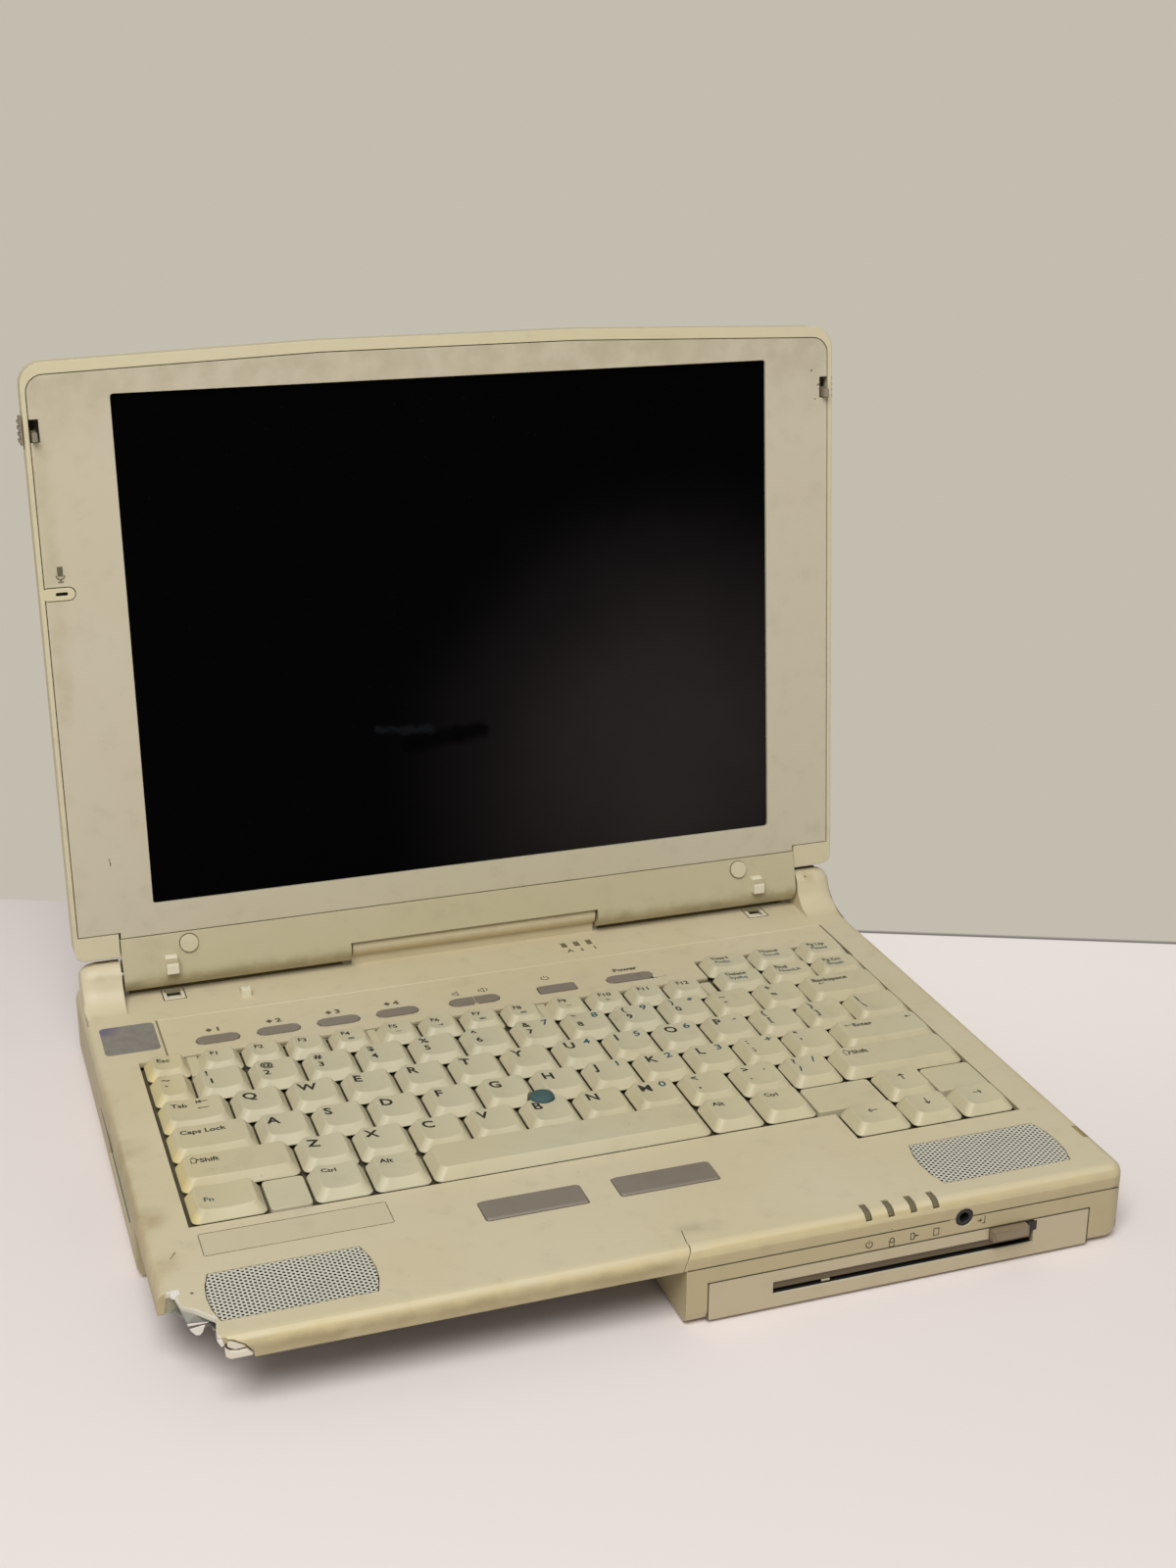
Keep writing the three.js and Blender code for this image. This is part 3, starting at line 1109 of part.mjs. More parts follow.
// Strip below the bezel: two barrels round the hinge shafts and a short middle stretch over the knuckle.
function lidHingeCover() {
  const front = -BEZEL_FRONT - 0.2;
  const barrelShape = new THREE.Shape()
    .moveTo(front, STRIP_TOP)
    .lineTo(-BARREL_RADIUS, 0)
    .absarc(0, 0, BARREL_RADIUS, Math.PI, 2.62 * Math.PI)
    .lineTo(front + STRIP_THICKNESS + 0.4, LID_FOOT - GAP)
    .lineTo(front + STRIP_THICKNESS, STRIP_TOP);
  const lowFront = front - (BARREL_RADIUS + front) * (STRIP_TOP - STRIP_LOW) / STRIP_TOP;
  const middleShape = polygon([
    [front, STRIP_TOP], [lowFront, STRIP_LOW], [lowFront + STRIP_THICKNESS, STRIP_LOW],
    [front + STRIP_THICKNESS, STRIP_TOP],
  ]);
  const pieces = [prism('x', middleShape, -BARREL_INNER, BARREL_INNER)];
  const bores = [];
  for (const side of [1, -1]) {
    const [x0, x1] = mirrored(side, BARREL_INNER - 0.01, BARREL_OUTER);
    const [bore0, bore1] = mirrored(side, BARREL_INNER + 1.5, BARREL_OUTER - 1.5);
    const [hole0, hole1] = mirrored(side, BARREL_OUTER - 2, BARREL_OUTER + 1);
    const [arm0, arm1] = mirrored(side, sleeveFrom - GAP, sleeveTo + GAP);
    pieces.push(prism('x', barrelShape, x0, x1, 5));
    const pegX = side * PEG_X;
    pieces.push(
      block(pegX - PEG_WIDTH / 2, pegX + PEG_WIDTH / 2, -PEG_REACH, -BARREL_RADIUS + 1, PEG_LOW, PEG_HIGH),
    );
    bores.push(prism('x', disc(0, 0, BARREL_RADIUS - BARREL_WALL), bore0, bore1, 6));
    bores.push(prism('x', disc(0, 0, SHAFT_RADIUS + GAP), hole0, hole1, 5));
    bores.push(block(arm0, arm1, 1.2, 3.8, 0, LID_FOOT));
    bores.push(screwCoverBody(side, SCREW_COVER_RADIUS + RUNNING_GAP, 2.5, -1.2));
  }
  return cutBy(joined(pieces), bores);
}

function screwCoverBody(side, radius, thickness, setback) {
  const slope = Math.atan2(BARREL_RADIUS - BEZEL_FRONT - 0.2, STRIP_TOP);
  const face = BEZEL_FRONT + 0.2 + Math.tan(slope) * (STRIP_TOP - SCREW_COVER_Z);
  const geometry = new THREE.CylinderGeometry(radius, radius, thickness, 16);
  geometry.translate(0, thickness / 2 + setback, 0).rotateX(-slope);
  return solid(geometry.translate(side * SCREW_COVER_X, -face, SCREW_COVER_Z));
}

function lcdPanel() {
  const left = SCREEN_SHIFT - SCREEN_WIDTH / 2 - PANEL_MARGIN;
  const front = -BEZEL_FRONT + BEZEL_THICKNESS + GAP;
  return block(
    left, left + SCREEN_WIDTH + 2 * PANEL_MARGIN, front, front + PANEL_THICKNESS,
    SCREEN_BOTTOM - PANEL_MARGIN, SCREEN_BOTTOM + SCREEN_HEIGHT + PANEL_MARGIN,
  );
}

function microphone() {
  const front = -BEZEL_FRONT + 2.4 + GAP;
  return prism('y', disc(MIC_X, MIC_Z, 2.6), front, front + 4, 4);
}

// Latch: ridged grip outside the lid's side wall, a neck through the window and a hook at the bezel.
function latch(side) {
  const edge = LID_WIDTH / 2;
  const [grip0, grip1] = mirrored(side, edge + GAP, edge + 1.1);
  const [neck0, neck1] = mirrored(side, edge - LID_WALL - 2.6, edge + 0.6);
  const [hook0, hook1] = mirrored(side, edge - LID_WALL - 2.6, edge - LID_WALL - 0.8);
  const low = LATCH_Z - LATCH_HEIGHT / 2;
  const high = LATCH_Z + LATCH_HEIGHT / 2 - LATCH_TRAVEL;
  const grip = block(grip0, grip1, -0.4, 7, low - 1, high + 5);
  const ridges = [0, 1, 2, 3].map((i) => {
    const [x0, x1] = mirrored(side, edge + 1, edge + 1.6);
    return block(x0, x1, -0.4, 7, low + i * 2.2, low + 1 + i * 2.2);
  });
  const neck = block(neck0, neck1, 1, 5, low, high);
  const hook = block(hook0, hook1, -BEZEL_FRONT - LATCH_HOOK_REACH, 1.5, low + 0.4, high - 0.4);
  return joined([grip, ...ridges, neck, hook]);
}

// Assembly

function buildBase() {
  const base = new THREE.Group();
  base.add(part('top_cover', topCover(), CREAM));
  base.add(part('bottom_case', bottomCase(), CREAM));
  base.add(part('bay_liner', bayLiner(), LINER_GREY));
  base.add(part('keyboard', keyboard(), KEY_CREAM));
  for (const [name, key] of Object.entries(wideKeys)) {
    base.add(part(name, wideKey(key), KEY_CREAM));
  }
  base.add(part('pointing_stick', pointingStick(), TEAL));
  base.add(part('switch_panel', switchPanel(), CREAM));
  quickPlaces.forEach((x, i) => {
    base.add(part(`quick_button_${i + 1}`, prism('z', oval(x, QUICK_WIDTH), ...buttonSpan, 1), TAUPE));
  });
  base.add(part('volume_down', volumeButton(-1), TAUPE));
  base.add(part('volume_up', volumeButton(1), TAUPE));
  base.add(part('suspend_button', prism('z', suspendShape(0), ...buttonSpan, 1), TAUPE));
  base.add(part('power_switch', prism('z', oval(POWER_X, POWER_WIDTH), ...buttonSpan, 1), TAUPE));
  base.add(part('click_button_left', clickButton(CLICK_LEFT_X), TAUPE));
  base.add(part('click_button_right', clickButton(CLICK_RIGHT_X), TAUPE));
  for (const [label, side] of [['left', -1], ['right', 1]]) {
    base.add(part(`speaker_grille_${label}`, speakerGrille(side), GRILLE_WHITE));
    base.add(part(`speaker_${label}`, speaker(side), DARK_PLASTIC));
    base.add(part(`base_hinge_bracket_${label}`, baseBracket(side), STEEL));
  }
  base.add(part('status_light_pipe', lightPipe(lightPlaces, LIGHT_Y, LIGHT_LENGTH, 2), LENS));
  base.add(part('lock_light_pipe', lightPipe(lockLightPlaces, LOCK_LIGHT_Y, 4, 0), LENS));
  base.add(part('headphone_jack', headphoneJack(), DARK_PLASTIC));
  base.add(part('floppy_drive', floppyDrive(), STEEL));
  base.add(part('floppy_bezel', floppyBezel(), CREAM));
  base.add(part('floppy_eject_button', ejectButton(), TAUPE));
  base.add(part('pc_card_cage', cardCage(), STEEL));
  base.add(part('main_board', mainBoard(), BOARD_GREEN));
  base.add(part('hard_drive', hardDrive(), STEEL));
  base.add(part('battery_contacts', batteryContacts(), DARK_PLASTIC));
  base.add(part('memory_cover', memoryCover(), CREAM));
  for (const [name, port] of Object.entries(PORTS)) {
    base.add(part(name, rearPort(port), DARK_PLASTIC));
  }
  for (const [name, place] of Object.entries(footPlaces)) {
    base.add(part(name, foot(place), RUBBER));
  }
  return base;
}

function buildLid() {
  const lid = new THREE.Group();
  lid.position.set(0, HINGE_Y, HINGE_Z);
  lid.rotation.x = -THREE.MathUtils.degToRad(LID_LEAN);
  lid.add(part('lid_back_cover', lidBackCover(), CREAM));
  lid.add(part('screen_bezel', screenBezel(), BEZEL_CREAM));
  lid.add(part('lid_hinge_cover', lidHingeCover(), CREAM));
  lid.add(part('lcd_panel', lcdPanel(), SCREEN_BLACK));
  lid.add(part('microphone', microphone(), DARK_PLASTIC));
  for (const [label, side] of [['left', -1], ['right', 1]]) {
    lid.add(part(`screw_cover_${label}`, screwCoverBody(side, SCREW_COVER_RADIUS, 1, -0.9), CREAM));
    lid.add(part(`lid_hinge_bracket_${label}`, lidBracket(side), STEEL));
    lid.add(part(`latch_${label}`, latch(side), TAUPE));
  }
  return lid;
}

const laptop = new THREE.Group();
laptop.add(buildBase(), buildLid());
laptop.updateMatrixWorld(true);
const box = new THREE.Box3().setFromObject(laptop, true);
laptop.position.set(-(box.min.x + box.max.x) / 2, -(box.min.y + box.max.y) / 2, -box.min.z);

export default laptop;
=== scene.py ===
"""Dresses the broken laptop: finishes for its solids, key caps, lettering, perforated grilles and damage."""

import json
import logging
import math
from dataclasses import dataclass, replace
from enum import Enum
from functools import lru_cache, reduce
from itertools import accumulate
from typing import Callable, Optional, Sequence, Union

import bmesh
import bpy
from mathutils import Matrix, Vector

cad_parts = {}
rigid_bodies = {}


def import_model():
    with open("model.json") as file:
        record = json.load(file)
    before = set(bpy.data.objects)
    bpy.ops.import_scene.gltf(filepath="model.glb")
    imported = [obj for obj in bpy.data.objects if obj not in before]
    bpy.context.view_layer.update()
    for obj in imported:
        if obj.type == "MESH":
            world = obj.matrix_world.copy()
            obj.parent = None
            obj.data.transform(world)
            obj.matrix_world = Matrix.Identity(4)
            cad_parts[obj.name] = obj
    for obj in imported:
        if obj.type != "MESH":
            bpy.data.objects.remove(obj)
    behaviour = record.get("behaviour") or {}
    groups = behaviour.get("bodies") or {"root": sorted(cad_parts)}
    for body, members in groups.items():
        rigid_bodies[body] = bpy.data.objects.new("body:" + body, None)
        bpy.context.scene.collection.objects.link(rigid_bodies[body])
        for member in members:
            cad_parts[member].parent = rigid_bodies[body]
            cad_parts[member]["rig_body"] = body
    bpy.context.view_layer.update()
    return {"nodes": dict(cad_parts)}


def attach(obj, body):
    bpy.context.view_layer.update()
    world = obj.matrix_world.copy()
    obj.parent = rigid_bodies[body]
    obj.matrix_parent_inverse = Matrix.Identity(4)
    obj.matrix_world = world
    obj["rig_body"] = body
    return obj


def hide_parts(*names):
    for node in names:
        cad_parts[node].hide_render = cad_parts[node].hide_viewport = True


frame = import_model()

log = logging.getLogger("broken_laptop")

MM = 0.001

# Places that several assemblies share, in the base's millimetres, and the lid's lean in degrees.
DECK = 27.5
PANEL = 27.7
FRONT = -121.5
HINGE_Y = 105.2
HINGE_Z = 35.6
LEAN = -5.7
CENTRING = (0.0, -7.708, 0.0)
FILM_BOX = (-136.7, -78.3, -78.5, -66.0)

# How far printing stands off its surface, and a length that counts as none.
HAIR = 0.04
TINY = 1e-6

UP = Vector((0, 0, 1))
ACROSS = Vector((1, 0, 0))
FORWARD = Vector((0, -1, 0))

Point = tuple[float, float, float]
Flat = tuple[float, float]
Outline = tuple[Flat, ...]
Box2 = tuple[float, float, float, float]
Chains = Sequence[Sequence[Flat]]
Number = Union[int, float]
Mesh = bmesh.types.BMesh
Vert = bmesh.types.BMVert
Socket = bpy.types.NodeSocket
Material = bpy.types.Material
Surface = Callable[[float, float], float]


class Carrier(Enum):
    """The two halves of the laptop, each with its own frame of reference in millimetres."""

    BASE = "base"
    LID = "lid"

    @property
    def placed(self) -> Matrix:
        """Matrix from this half's own millimetres to the model's metres."""
        middle = Matrix.Translation(CENTRING)
        if self is Carrier.LID:
            hinge = Matrix.Translation((0.0, HINGE_Y, HINGE_Z))
            middle = middle @ hinge @ Matrix.Rotation(math.radians(LEAN), 4, "X")
        return Matrix.Scale(MM, 4) @ middle

    def millimetres(self, point: Point) -> Vector:
        """A point of this half in the model's frame, in millimetres."""
        return (self.placed @ Vector(point)) / MM


BASE, LID = Carrier.BASE, Carrier.LID


def level(outline: Sequence[Flat], z: float) -> list[Point]:
    """Points of an outline of x and y at one height."""
    return [(x, y, z) for x, y in outline]


def upright(outline: Sequence[Flat], y: float) -> list[Point]:
    """Points of an outline of x and z in an upright plane across the laptop."""
    return [(x, y, z) for x, z in outline]


def linear(colour: str) -> tuple[float, float, float, float]:
    """Turns a written sRGB colour into Blender's linear colour.

    Args:
        colour: Six hexadecimal digits, such as "c9bd93".

    Returns:
        Linear red, green, blue and full alpha.
    """
    channels = [int(colour[i:i + 2], 16) / 255 for i in (0, 2, 4)]
    flat = [c / 12.92 if c <= 0.04045 else ((c + 0.055) / 1.055) ** 2.4 for c in channels]
    return (flat[0], flat[1], flat[2], 1.0)


class Value:
    """A number's socket; Python operators on it add Math nodes."""

    def __init__(self, graph: "Graph", socket: Socket) -> None:
        """Keeps the socket and the graph that it belongs to."""
        self.graph = graph
        self.socket = socket

    def math(self, operation: str, *operands: "Operand") -> "Value":
        """Adds one Math node with those operands and gives its result."""
        node = self.graph.node("Math", dict(enumerate(operands)), operation=operation)
        return Value(self.graph, node.outputs[0])

    def __add__(self, other: "Operand") -> "Value":
        """This value plus another."""
        return self.math("ADD", self, other)

    __radd__ = __add__

    def __sub__(self, other: "Operand") -> "Value":
        """This value less another."""
        return self.math("SUBTRACT", self, other)

    def __rsub__(self, other: Number) -> "Value":
        """A number less this value."""
        return self.math("SUBTRACT", other, self)

    def __mul__(self, other: "Operand") -> "Value":
        """This value times another."""
        return self.math("MULTIPLY", self, other)

    __rmul__ = __mul__

    def __abs__(self) -> "Value":
        """This value without its sign."""
        return self.math("ABSOLUTE", self)

    def most(self, other: "Operand") -> "Value":
        """The larger of this value and another."""
        return self.math("MAXIMUM", self, other)

    def ramp(self, start: float, end: float) -> "Value":
        """Rises smoothly from 0 at start to 1 at end, or falls where end is the smaller.

        Args:
            start: The value that gives 0.
            end: The value that gives 1.

        Returns:
            A value from 0 to 1.
        """
        low, high = min(start, end), max(start, end)
        to = {3: 0.0, 4: 1.0} if start < end else {3: 1.0, 4: 0.0}
        sockets = {0: self, 1: low, 2: high, **to}
        node = self.graph.node("MapRange", sockets, interpolation_type="SMOOTHSTEP")
        return Value(self.graph, node.outputs[0])


Operand = Union[Value, Number]
Input = Union[Value, Socket, Number, Sequence[float]]
Colour = Union[Socket, str]


class Graph:
    """One material's node tree and the few steps that every finish is written with."""

    NOISE_ROUGHNESS = 0.55
    EDGE_FACING = (0.995, 0.8)

    def __init__(self, name: str) -> None:
        """Makes an empty material of that name."""
        self.material = bpy.data.materials.new(name)
        self.material.use_nodes = True
        self.tree = self.material.node_tree
        self.tree.nodes.clear()
        self.output = self.node("OutputMaterial")

    def node(self, kind: str, sockets: Optional[dict] = None, **settings: Union[str, int]) -> bpy.types.Node:
        """Adds any shader node.

        Args:
            kind: The node's type without its prefix.
            sockets: Values or links by socket name or number.
            settings: Properties that are set before the sockets.

        Returns:
            The new node.
        """
        node = self.tree.nodes.new("ShaderNode" + kind)
        for key, setting in settings.items():
            setattr(node, key, setting)
        for key, given in (sockets or {}).items():
            socket = given.socket if isinstance(given, Value) else given
            if isinstance(socket, Socket):
                self.tree.links.new(socket, node.inputs[key])
            else:
                node.inputs[key].default_value = socket
        return node

    def vector(self, operation: str, first: Input, second: Input) -> Socket:
        """Adds one Vector Math node.

        Args:
            operation: The node's operation.
            first: Its first vector.
            second: Its second vector, or the factor of a scale.

        Returns:
            A number for a product or distance, or else a vector.
        """
        number = 3 if operation == "SCALE" else 1
        node = self.node("VectorMath", {0: first, number: second}, operation=operation)
        return node.outputs["Value" if operation in ("DOT_PRODUCT", "DISTANCE") else "Vector"]

    def place(self) -> Socket:
        """The point on the surface, in millimetres of the model's frame."""
        return self.vector("SCALE", self.node("TexCoord").outputs["Object"], 1 / MM)

    def axis(self, vector: Socket, index: int) -> Value:
        """One coordinate of a vector."""
        return Value(self, self.node("SeparateXYZ", {0: vector}).outputs[index])

    def cloud(self, place: Socket, size: float, detail: float) -> Value:
        """Soft noise about 0.5, with blotches of that size in millimetres and so many finer layers."""
        sockets = {"Vector": place, "Scale": 1 / size, "Detail": detail, "Roughness": self.NOISE_ROUGHNESS}
        return Value(self, self.node("TexNoise", sockets).outputs[0])

    def shaken(self, place: Socket, size: float, reach: float) -> Socket:
        """The point on the surface, pushed about by noise so that outlines wander.

        Args:
            place: The point on the surface.
            size: The size of the wandering in millimetres.
            reach: How far it goes in millimetres.

        Returns:
            The moved point.
        """
        noise = self.node("TexNoise", {"Vector": place, "Scale": 1 / size, "Detail": 3.0})
        centred = self.vector("SUBTRACT", noise.outputs[1], (0.5, 0.5, 0.5))
        return self.vector("ADD", place, self.vector("SCALE", centred, 2 * reach))

    def mix(self, factor: Operand, low: Colour, high: Colour) -> Socket:
        """Goes from one colour at a factor of 0 to another at 1."""
        ends = [linear(c) if isinstance(c, str) else c for c in (low, high)]
        return self.node("Mix", {0: factor, 6: ends[0], 7: ends[1]}, data_type="RGBA").outputs[2]

    def reach(self, place: Socket, start: Vector, end: Vector) -> Value:
        """Distance in millimetres from the surface point to a straight line between two points.

        Args:
            place: The point on the surface.
            start: One end of the line, in the model's millimetres.
            end: The other end; the same point gives the distance to a point.

        Returns:
            The distance.
        """
        along = end - start
        if along.length < TINY:
            return Value(self, self.vector("DISTANCE", place, start[:]))
        from_start = self.vector("SUBTRACT", place, start[:])
        share = self.vector("DOT_PRODUCT", from_start, (along / along.length_squared)[:])
        held = self.node("Clamp", {0: share}).outputs[0]
        return Value(self, self.vector("DISTANCE", from_start, self.vector("SCALE", along[:], held)))

    def edges(self, radius: float) -> tuple[Socket, Value]:
        """Softens the hard edges of a moulding.

        Args:
            radius: The edge's radius in millimetres.

        Returns:
            The softened normal, and a value that rises from 0 on the flat to 1 on an edge.
        """
        soft = self.node("Bevel", {"Radius": radius * MM}, samples=4).outputs[0]
        flat = self.node("NewGeometry").outputs["Normal"]
        return soft, Value(self, self.vector("DOT_PRODUCT", soft, flat)).ramp(*self.EDGE_FACING)

    def bump(self, height: Value, depth: float, normal: Optional[Socket] = None) -> Socket:
        """Turns a height, of which 1 stands for that depth in millimetres, into a bump on a normal."""
        sockets = {"Height": height, "Distance": depth * MM, "Strength": 1.0}
        return self.node("Bump", sockets if normal is None else {**sockets, "Normal": normal}).outputs[0]

    def surface(self, **sockets: Input) -> Material:
        """Ends the graph in a Principled shader, whose sockets are named with underscores for spaces."""
        named = {key.replace("_", " "): given for key, given in sockets.items()}
        return self.end(self.node("BsdfPrincipled", named))

    def end(self, shader: bpy.types.Node) -> Material:
        """Links the last shader to the output and gives the finished material."""
        self.tree.links.new(shader.outputs[0], self.output.inputs[0])
        return self.material


@dataclass(frozen=True)
class Mark:
    """A stain, scuff, scratch or crack, or a patch of painted shade or highlight, that lies along a line on
    one half of the laptop.
    """

    carrier: Carrier
    start: Point
    end: Point
    radius: float
    colour: str
    strength: float = 1.0
    sharp: float = 0.0
    sunk: float = 0.0

    def ends(self) -> list[Vector]:
        """Both ends in the model's millimetres."""
        return [self.carrier.millimetres(point) for point in (self.start, self.end)]


def spot(carrier: Carrier, at: Point, *look: Union[float, str]) -> Mark:
    """A round mark."""
    return Mark(carrier, at, at, *look)


def trail(carrier: Carrier, points: Sequence[Point], *look: Union[float, str]) -> tuple[Mark, ...]:
    """A chain of straight marks, such as a crack, all of one look."""
    return tuple(Mark(carrier, a, b, *look) for a, b in zip(points, points[1:]))


@dataclass(frozen=True)
class Moulding:
    """Moulded or pressed stuff with a fine grain, blotchy ageing, specks of dirt and marks of its own; steep
    faces low down take a painted shade, and rounded edges turn paler from wear and painted highlight.
    """

    name: str
    colour: str
    aged: str
    grime: str = "6d5f43"
    roughness: float = 0.55
    metallic: float = 0.0
    grain: float = 0.5
    grain_depth: float = 0.02
    edge: float = 0.5
    specks: float = 0.35
    marks: tuple[Mark, ...] = ()
    worn: str = ""
    flank: str = ""

    # Sizes of the noises, and the levels between which each effect sets in.
    BROAD, BLOTCH, SPECK = 70, 9, 1.5
    SPECK_LEVELS, SPECKED_LEVELS = (0.69, 0.76), (0.45, 0.7)
    AGED_LEVELS, GRIME_LEVELS, PATCH_LEVELS = (0.35, 0.68), (0.5, 0.85), (0.3, 0.62)
    # Heights and steepness of a flank that takes painted shade, the sharpness of a hard mark, and how marks
    # wander: size and reach.
    FLANK_HEIGHTS, FLANK_STEEPNESS = (28.5, 26.0), (0.25, 0.85)
    HARD = 0.4
    SOFT_WANDER, HARD_WANDER = (6.0, 2.0), (1.2, 0.25)

    def build(self) -> Material:
        """Writes the material."""
        graph = Graph(self.name)
        place = graph.place()
        broad = graph.cloud(place, self.BROAD, 2)
        blotch = graph.cloud(place, self.BLOTCH, 4)
        specks = graph.cloud(place, self.SPECK, 2).ramp(*self.SPECK_LEVELS)
        specks = specks * blotch.ramp(*self.SPECKED_LEVELS)
        normal, edge = graph.edges(self.edge)
        colour = graph.mix(broad.ramp(*self.AGED_LEVELS) * 0.55, self.colour, self.aged)
        # Painted shade: steep faces below the deck darken towards the flank colour.
        if self.flank:
            steep = 1 - abs(graph.axis(graph.node("NewGeometry").outputs["Normal"], 2))
            below = graph.axis(place, 2).ramp(*self.FLANK_HEIGHTS)
            colour = graph.mix(steep.ramp(*self.FLANK_STEEPNESS) * below * 0.9, colour, self.flank)
        # Rounded edges turn paler: partly rubbed wear, partly a painted highlight where they catch the light.
        colour = graph.mix(edge * 0.5, colour, self.worn or self.aged)
        colour = graph.mix(blotch.ramp(*self.GRIME_LEVELS) * 0.14, colour, self.grime)
        colour = graph.mix(specks * self.specks, colour, self.grime)
        height = graph.cloud(place, self.grain, 2) * self.grain_depth
        soft_place = graph.shaken(place, *self.SOFT_WANDER)
        hard_place = graph.shaken(place, *self.HARD_WANDER)
        for mark in self.marks:
            hard = mark.sharp > self.HARD
            distance = graph.reach(hard_place if hard else soft_place, *mark.ends())
            cover = distance.ramp(mark.radius, mark.radius * mark.sharp) * mark.strength
            if not hard:
                cover = cover * (blotch.ramp(*self.PATCH_LEVELS) * 0.75 + 0.25)
            colour = graph.mix(cover, colour, mark.colour)
            if mark.sunk:
                height = height - cover * mark.sunk
        roughness = self.roughness + (blotch - 0.5) * 0.22
        bumped = graph.bump(height, 1.0, normal)
        return graph.surface(Base_Color=colour, Roughness=roughness, Metallic=self.metallic, Normal=bumped)


@dataclass(frozen=True)
class DeadScreen:
    """Switched-off matt display: near black, with a grey sheen towards one corner that is a painted
    reflection, and a wiped smear.
    """

    name: str
    veil_at: Point
    veil_radius: float
    smears: tuple[Mark, ...]
    black: str = "020203"
    grey: str = "2a2625"
    dust: str = "8f8a80"

    def build(self) -> Material:
        """Writes the material."""
        graph = Graph(self.name)
        place = graph.place()
        middle = LID.millimetres(self.veil_at)
        cloud = graph.cloud(place, 40, 3)
        # Painted reflection: a grey sheen that grows towards one corner.
        nearness = graph.reach(graph.shaken(place, 50, 10), middle, middle).ramp(self.veil_radius, 4.0)
        colour = graph.mix(nearness * (cloud * 0.4 + 0.75), self.black, self.grey)
        roughness = 0.32 + graph.cloud(place, 0.35, 1) * 0.1
        smeared = graph.shaken(place, 5.0, 2.2)
        for mark in self.smears:
            cover = graph.reach(smeared, *mark.ends()).ramp(mark.radius, mark.radius * 0.3)
            colour = graph.mix(cover * mark.strength, colour, mark.colour)
            roughness = roughness - cover * 0.12
        dust = graph.cloud(place, 0.7, 1).ramp(0.74, 0.8)
        colour = graph.mix(dust * 0.03, colour, self.dust)
        return graph.surface(Base_Color=colour, Roughness=roughness, Specular_IOR_Level=0.02)


@dataclass(frozen=True)
class Foil:
    """Blank metal foil with a brushed face, dulled in blotches and tinted at one corner."""

    name: str
    colour: str
    dull: str
    tint: str
    tinted: Point

    def build(self) -> Material:
        """Writes the material."""
        graph = Graph(self.name)
        place = graph.place()
        corner = BASE.millimetres(self.tinted)
        brushed = graph.cloud(graph.vector("MULTIPLY", place, (0.06, 2.2, 1.0)), 0.8, 3)
        blotch = graph.cloud(place, 4.5, 4)
        colour = graph.mix(blotch.ramp(0.3, 0.8) * 0.5, self.colour, self.dull)
        colour = graph.mix(graph.reach(place, corner, corner).ramp(9.0, 2.0) * 0.6, colour, self.tint)
        roughness = 0.4 + blotch * 0.2
        bumped = graph.bump(brushed, 0.006)
        return graph.surface(Base_Color=colour, Roughness=roughness, Metallic=0.45, Normal=bumped)


@dataclass(frozen=True)
class Ink:
    """Printed lettering, rubbed thin in places."""

    name: str
    colour: str
    worn: str
    wear: float

    def build(self) -> Material:
        """Writes the material."""
        graph = Graph(self.name)
        rubbed = graph.cloud(graph.place(), 2.2, 3).ramp(0.5, 0.75) * self.wear
        colour = graph.mix(rubbed, self.colour, self.worn)
        return graph.surface(Base_Color=colour, Roughness=0.55 + rubbed * 0.2)


@dataclass(frozen=True)
class ClearFilm:
    """Clear stuck-on film, all but invisible save for its sheen and its dusty rim."""

    name: str
    box: Box2
    height: float
    clear: str = "cfc6a8"
    dusty: str = "8b8063"

    def build(self) -> Material:
        """Writes the material."""
        graph = Graph(self.name)
        place = graph.place()
        x0, x1, y0, y1 = self.box
        corners = [BASE.millimetres(p) for p in level(((x0, y0), (x1, y0), (x1, y1), (x0, y1)), self.height)]
        sides = zip(corners, corners[1:] + corners[:1])
        rim = reduce(Value.most, [graph.reach(place, a, b).ramp(0.5, 0.15) for a, b in sides])
        dust = graph.cloud(place, 3, 3).ramp(0.3, 0.7)
        cover = rim * (dust * 0.3 + 0.28) + 0.05
        return graph.surface(Base_Color=graph.mix(rim, self.clear, self.dusty), Roughness=0.3, Alpha=cover)


Finish = Union[Moulding, DeadScreen, Foil, Ink, ClearFilm]


@lru_cache(maxsize=None)
def dressed(finish: Finish) -> Material:
    """Builds each finish once and gives its material."""
    return finish.build()


CRACK = "3a2f1c"
BROWN = "8a6a3a"
RUB = "8d8163"
FLECK = "4a3f2c"
BEZEL_Y = -3.3

BREAK_LINE = (
    (-149.6, -93.2), (-148.2, -93.4), (-146.9, -101.5), (-143.0, -104.5), (-139.0, -109.2), (-138.4, -110.4),
    (-139.7, -117.5), (-138.7, -121.4),
)
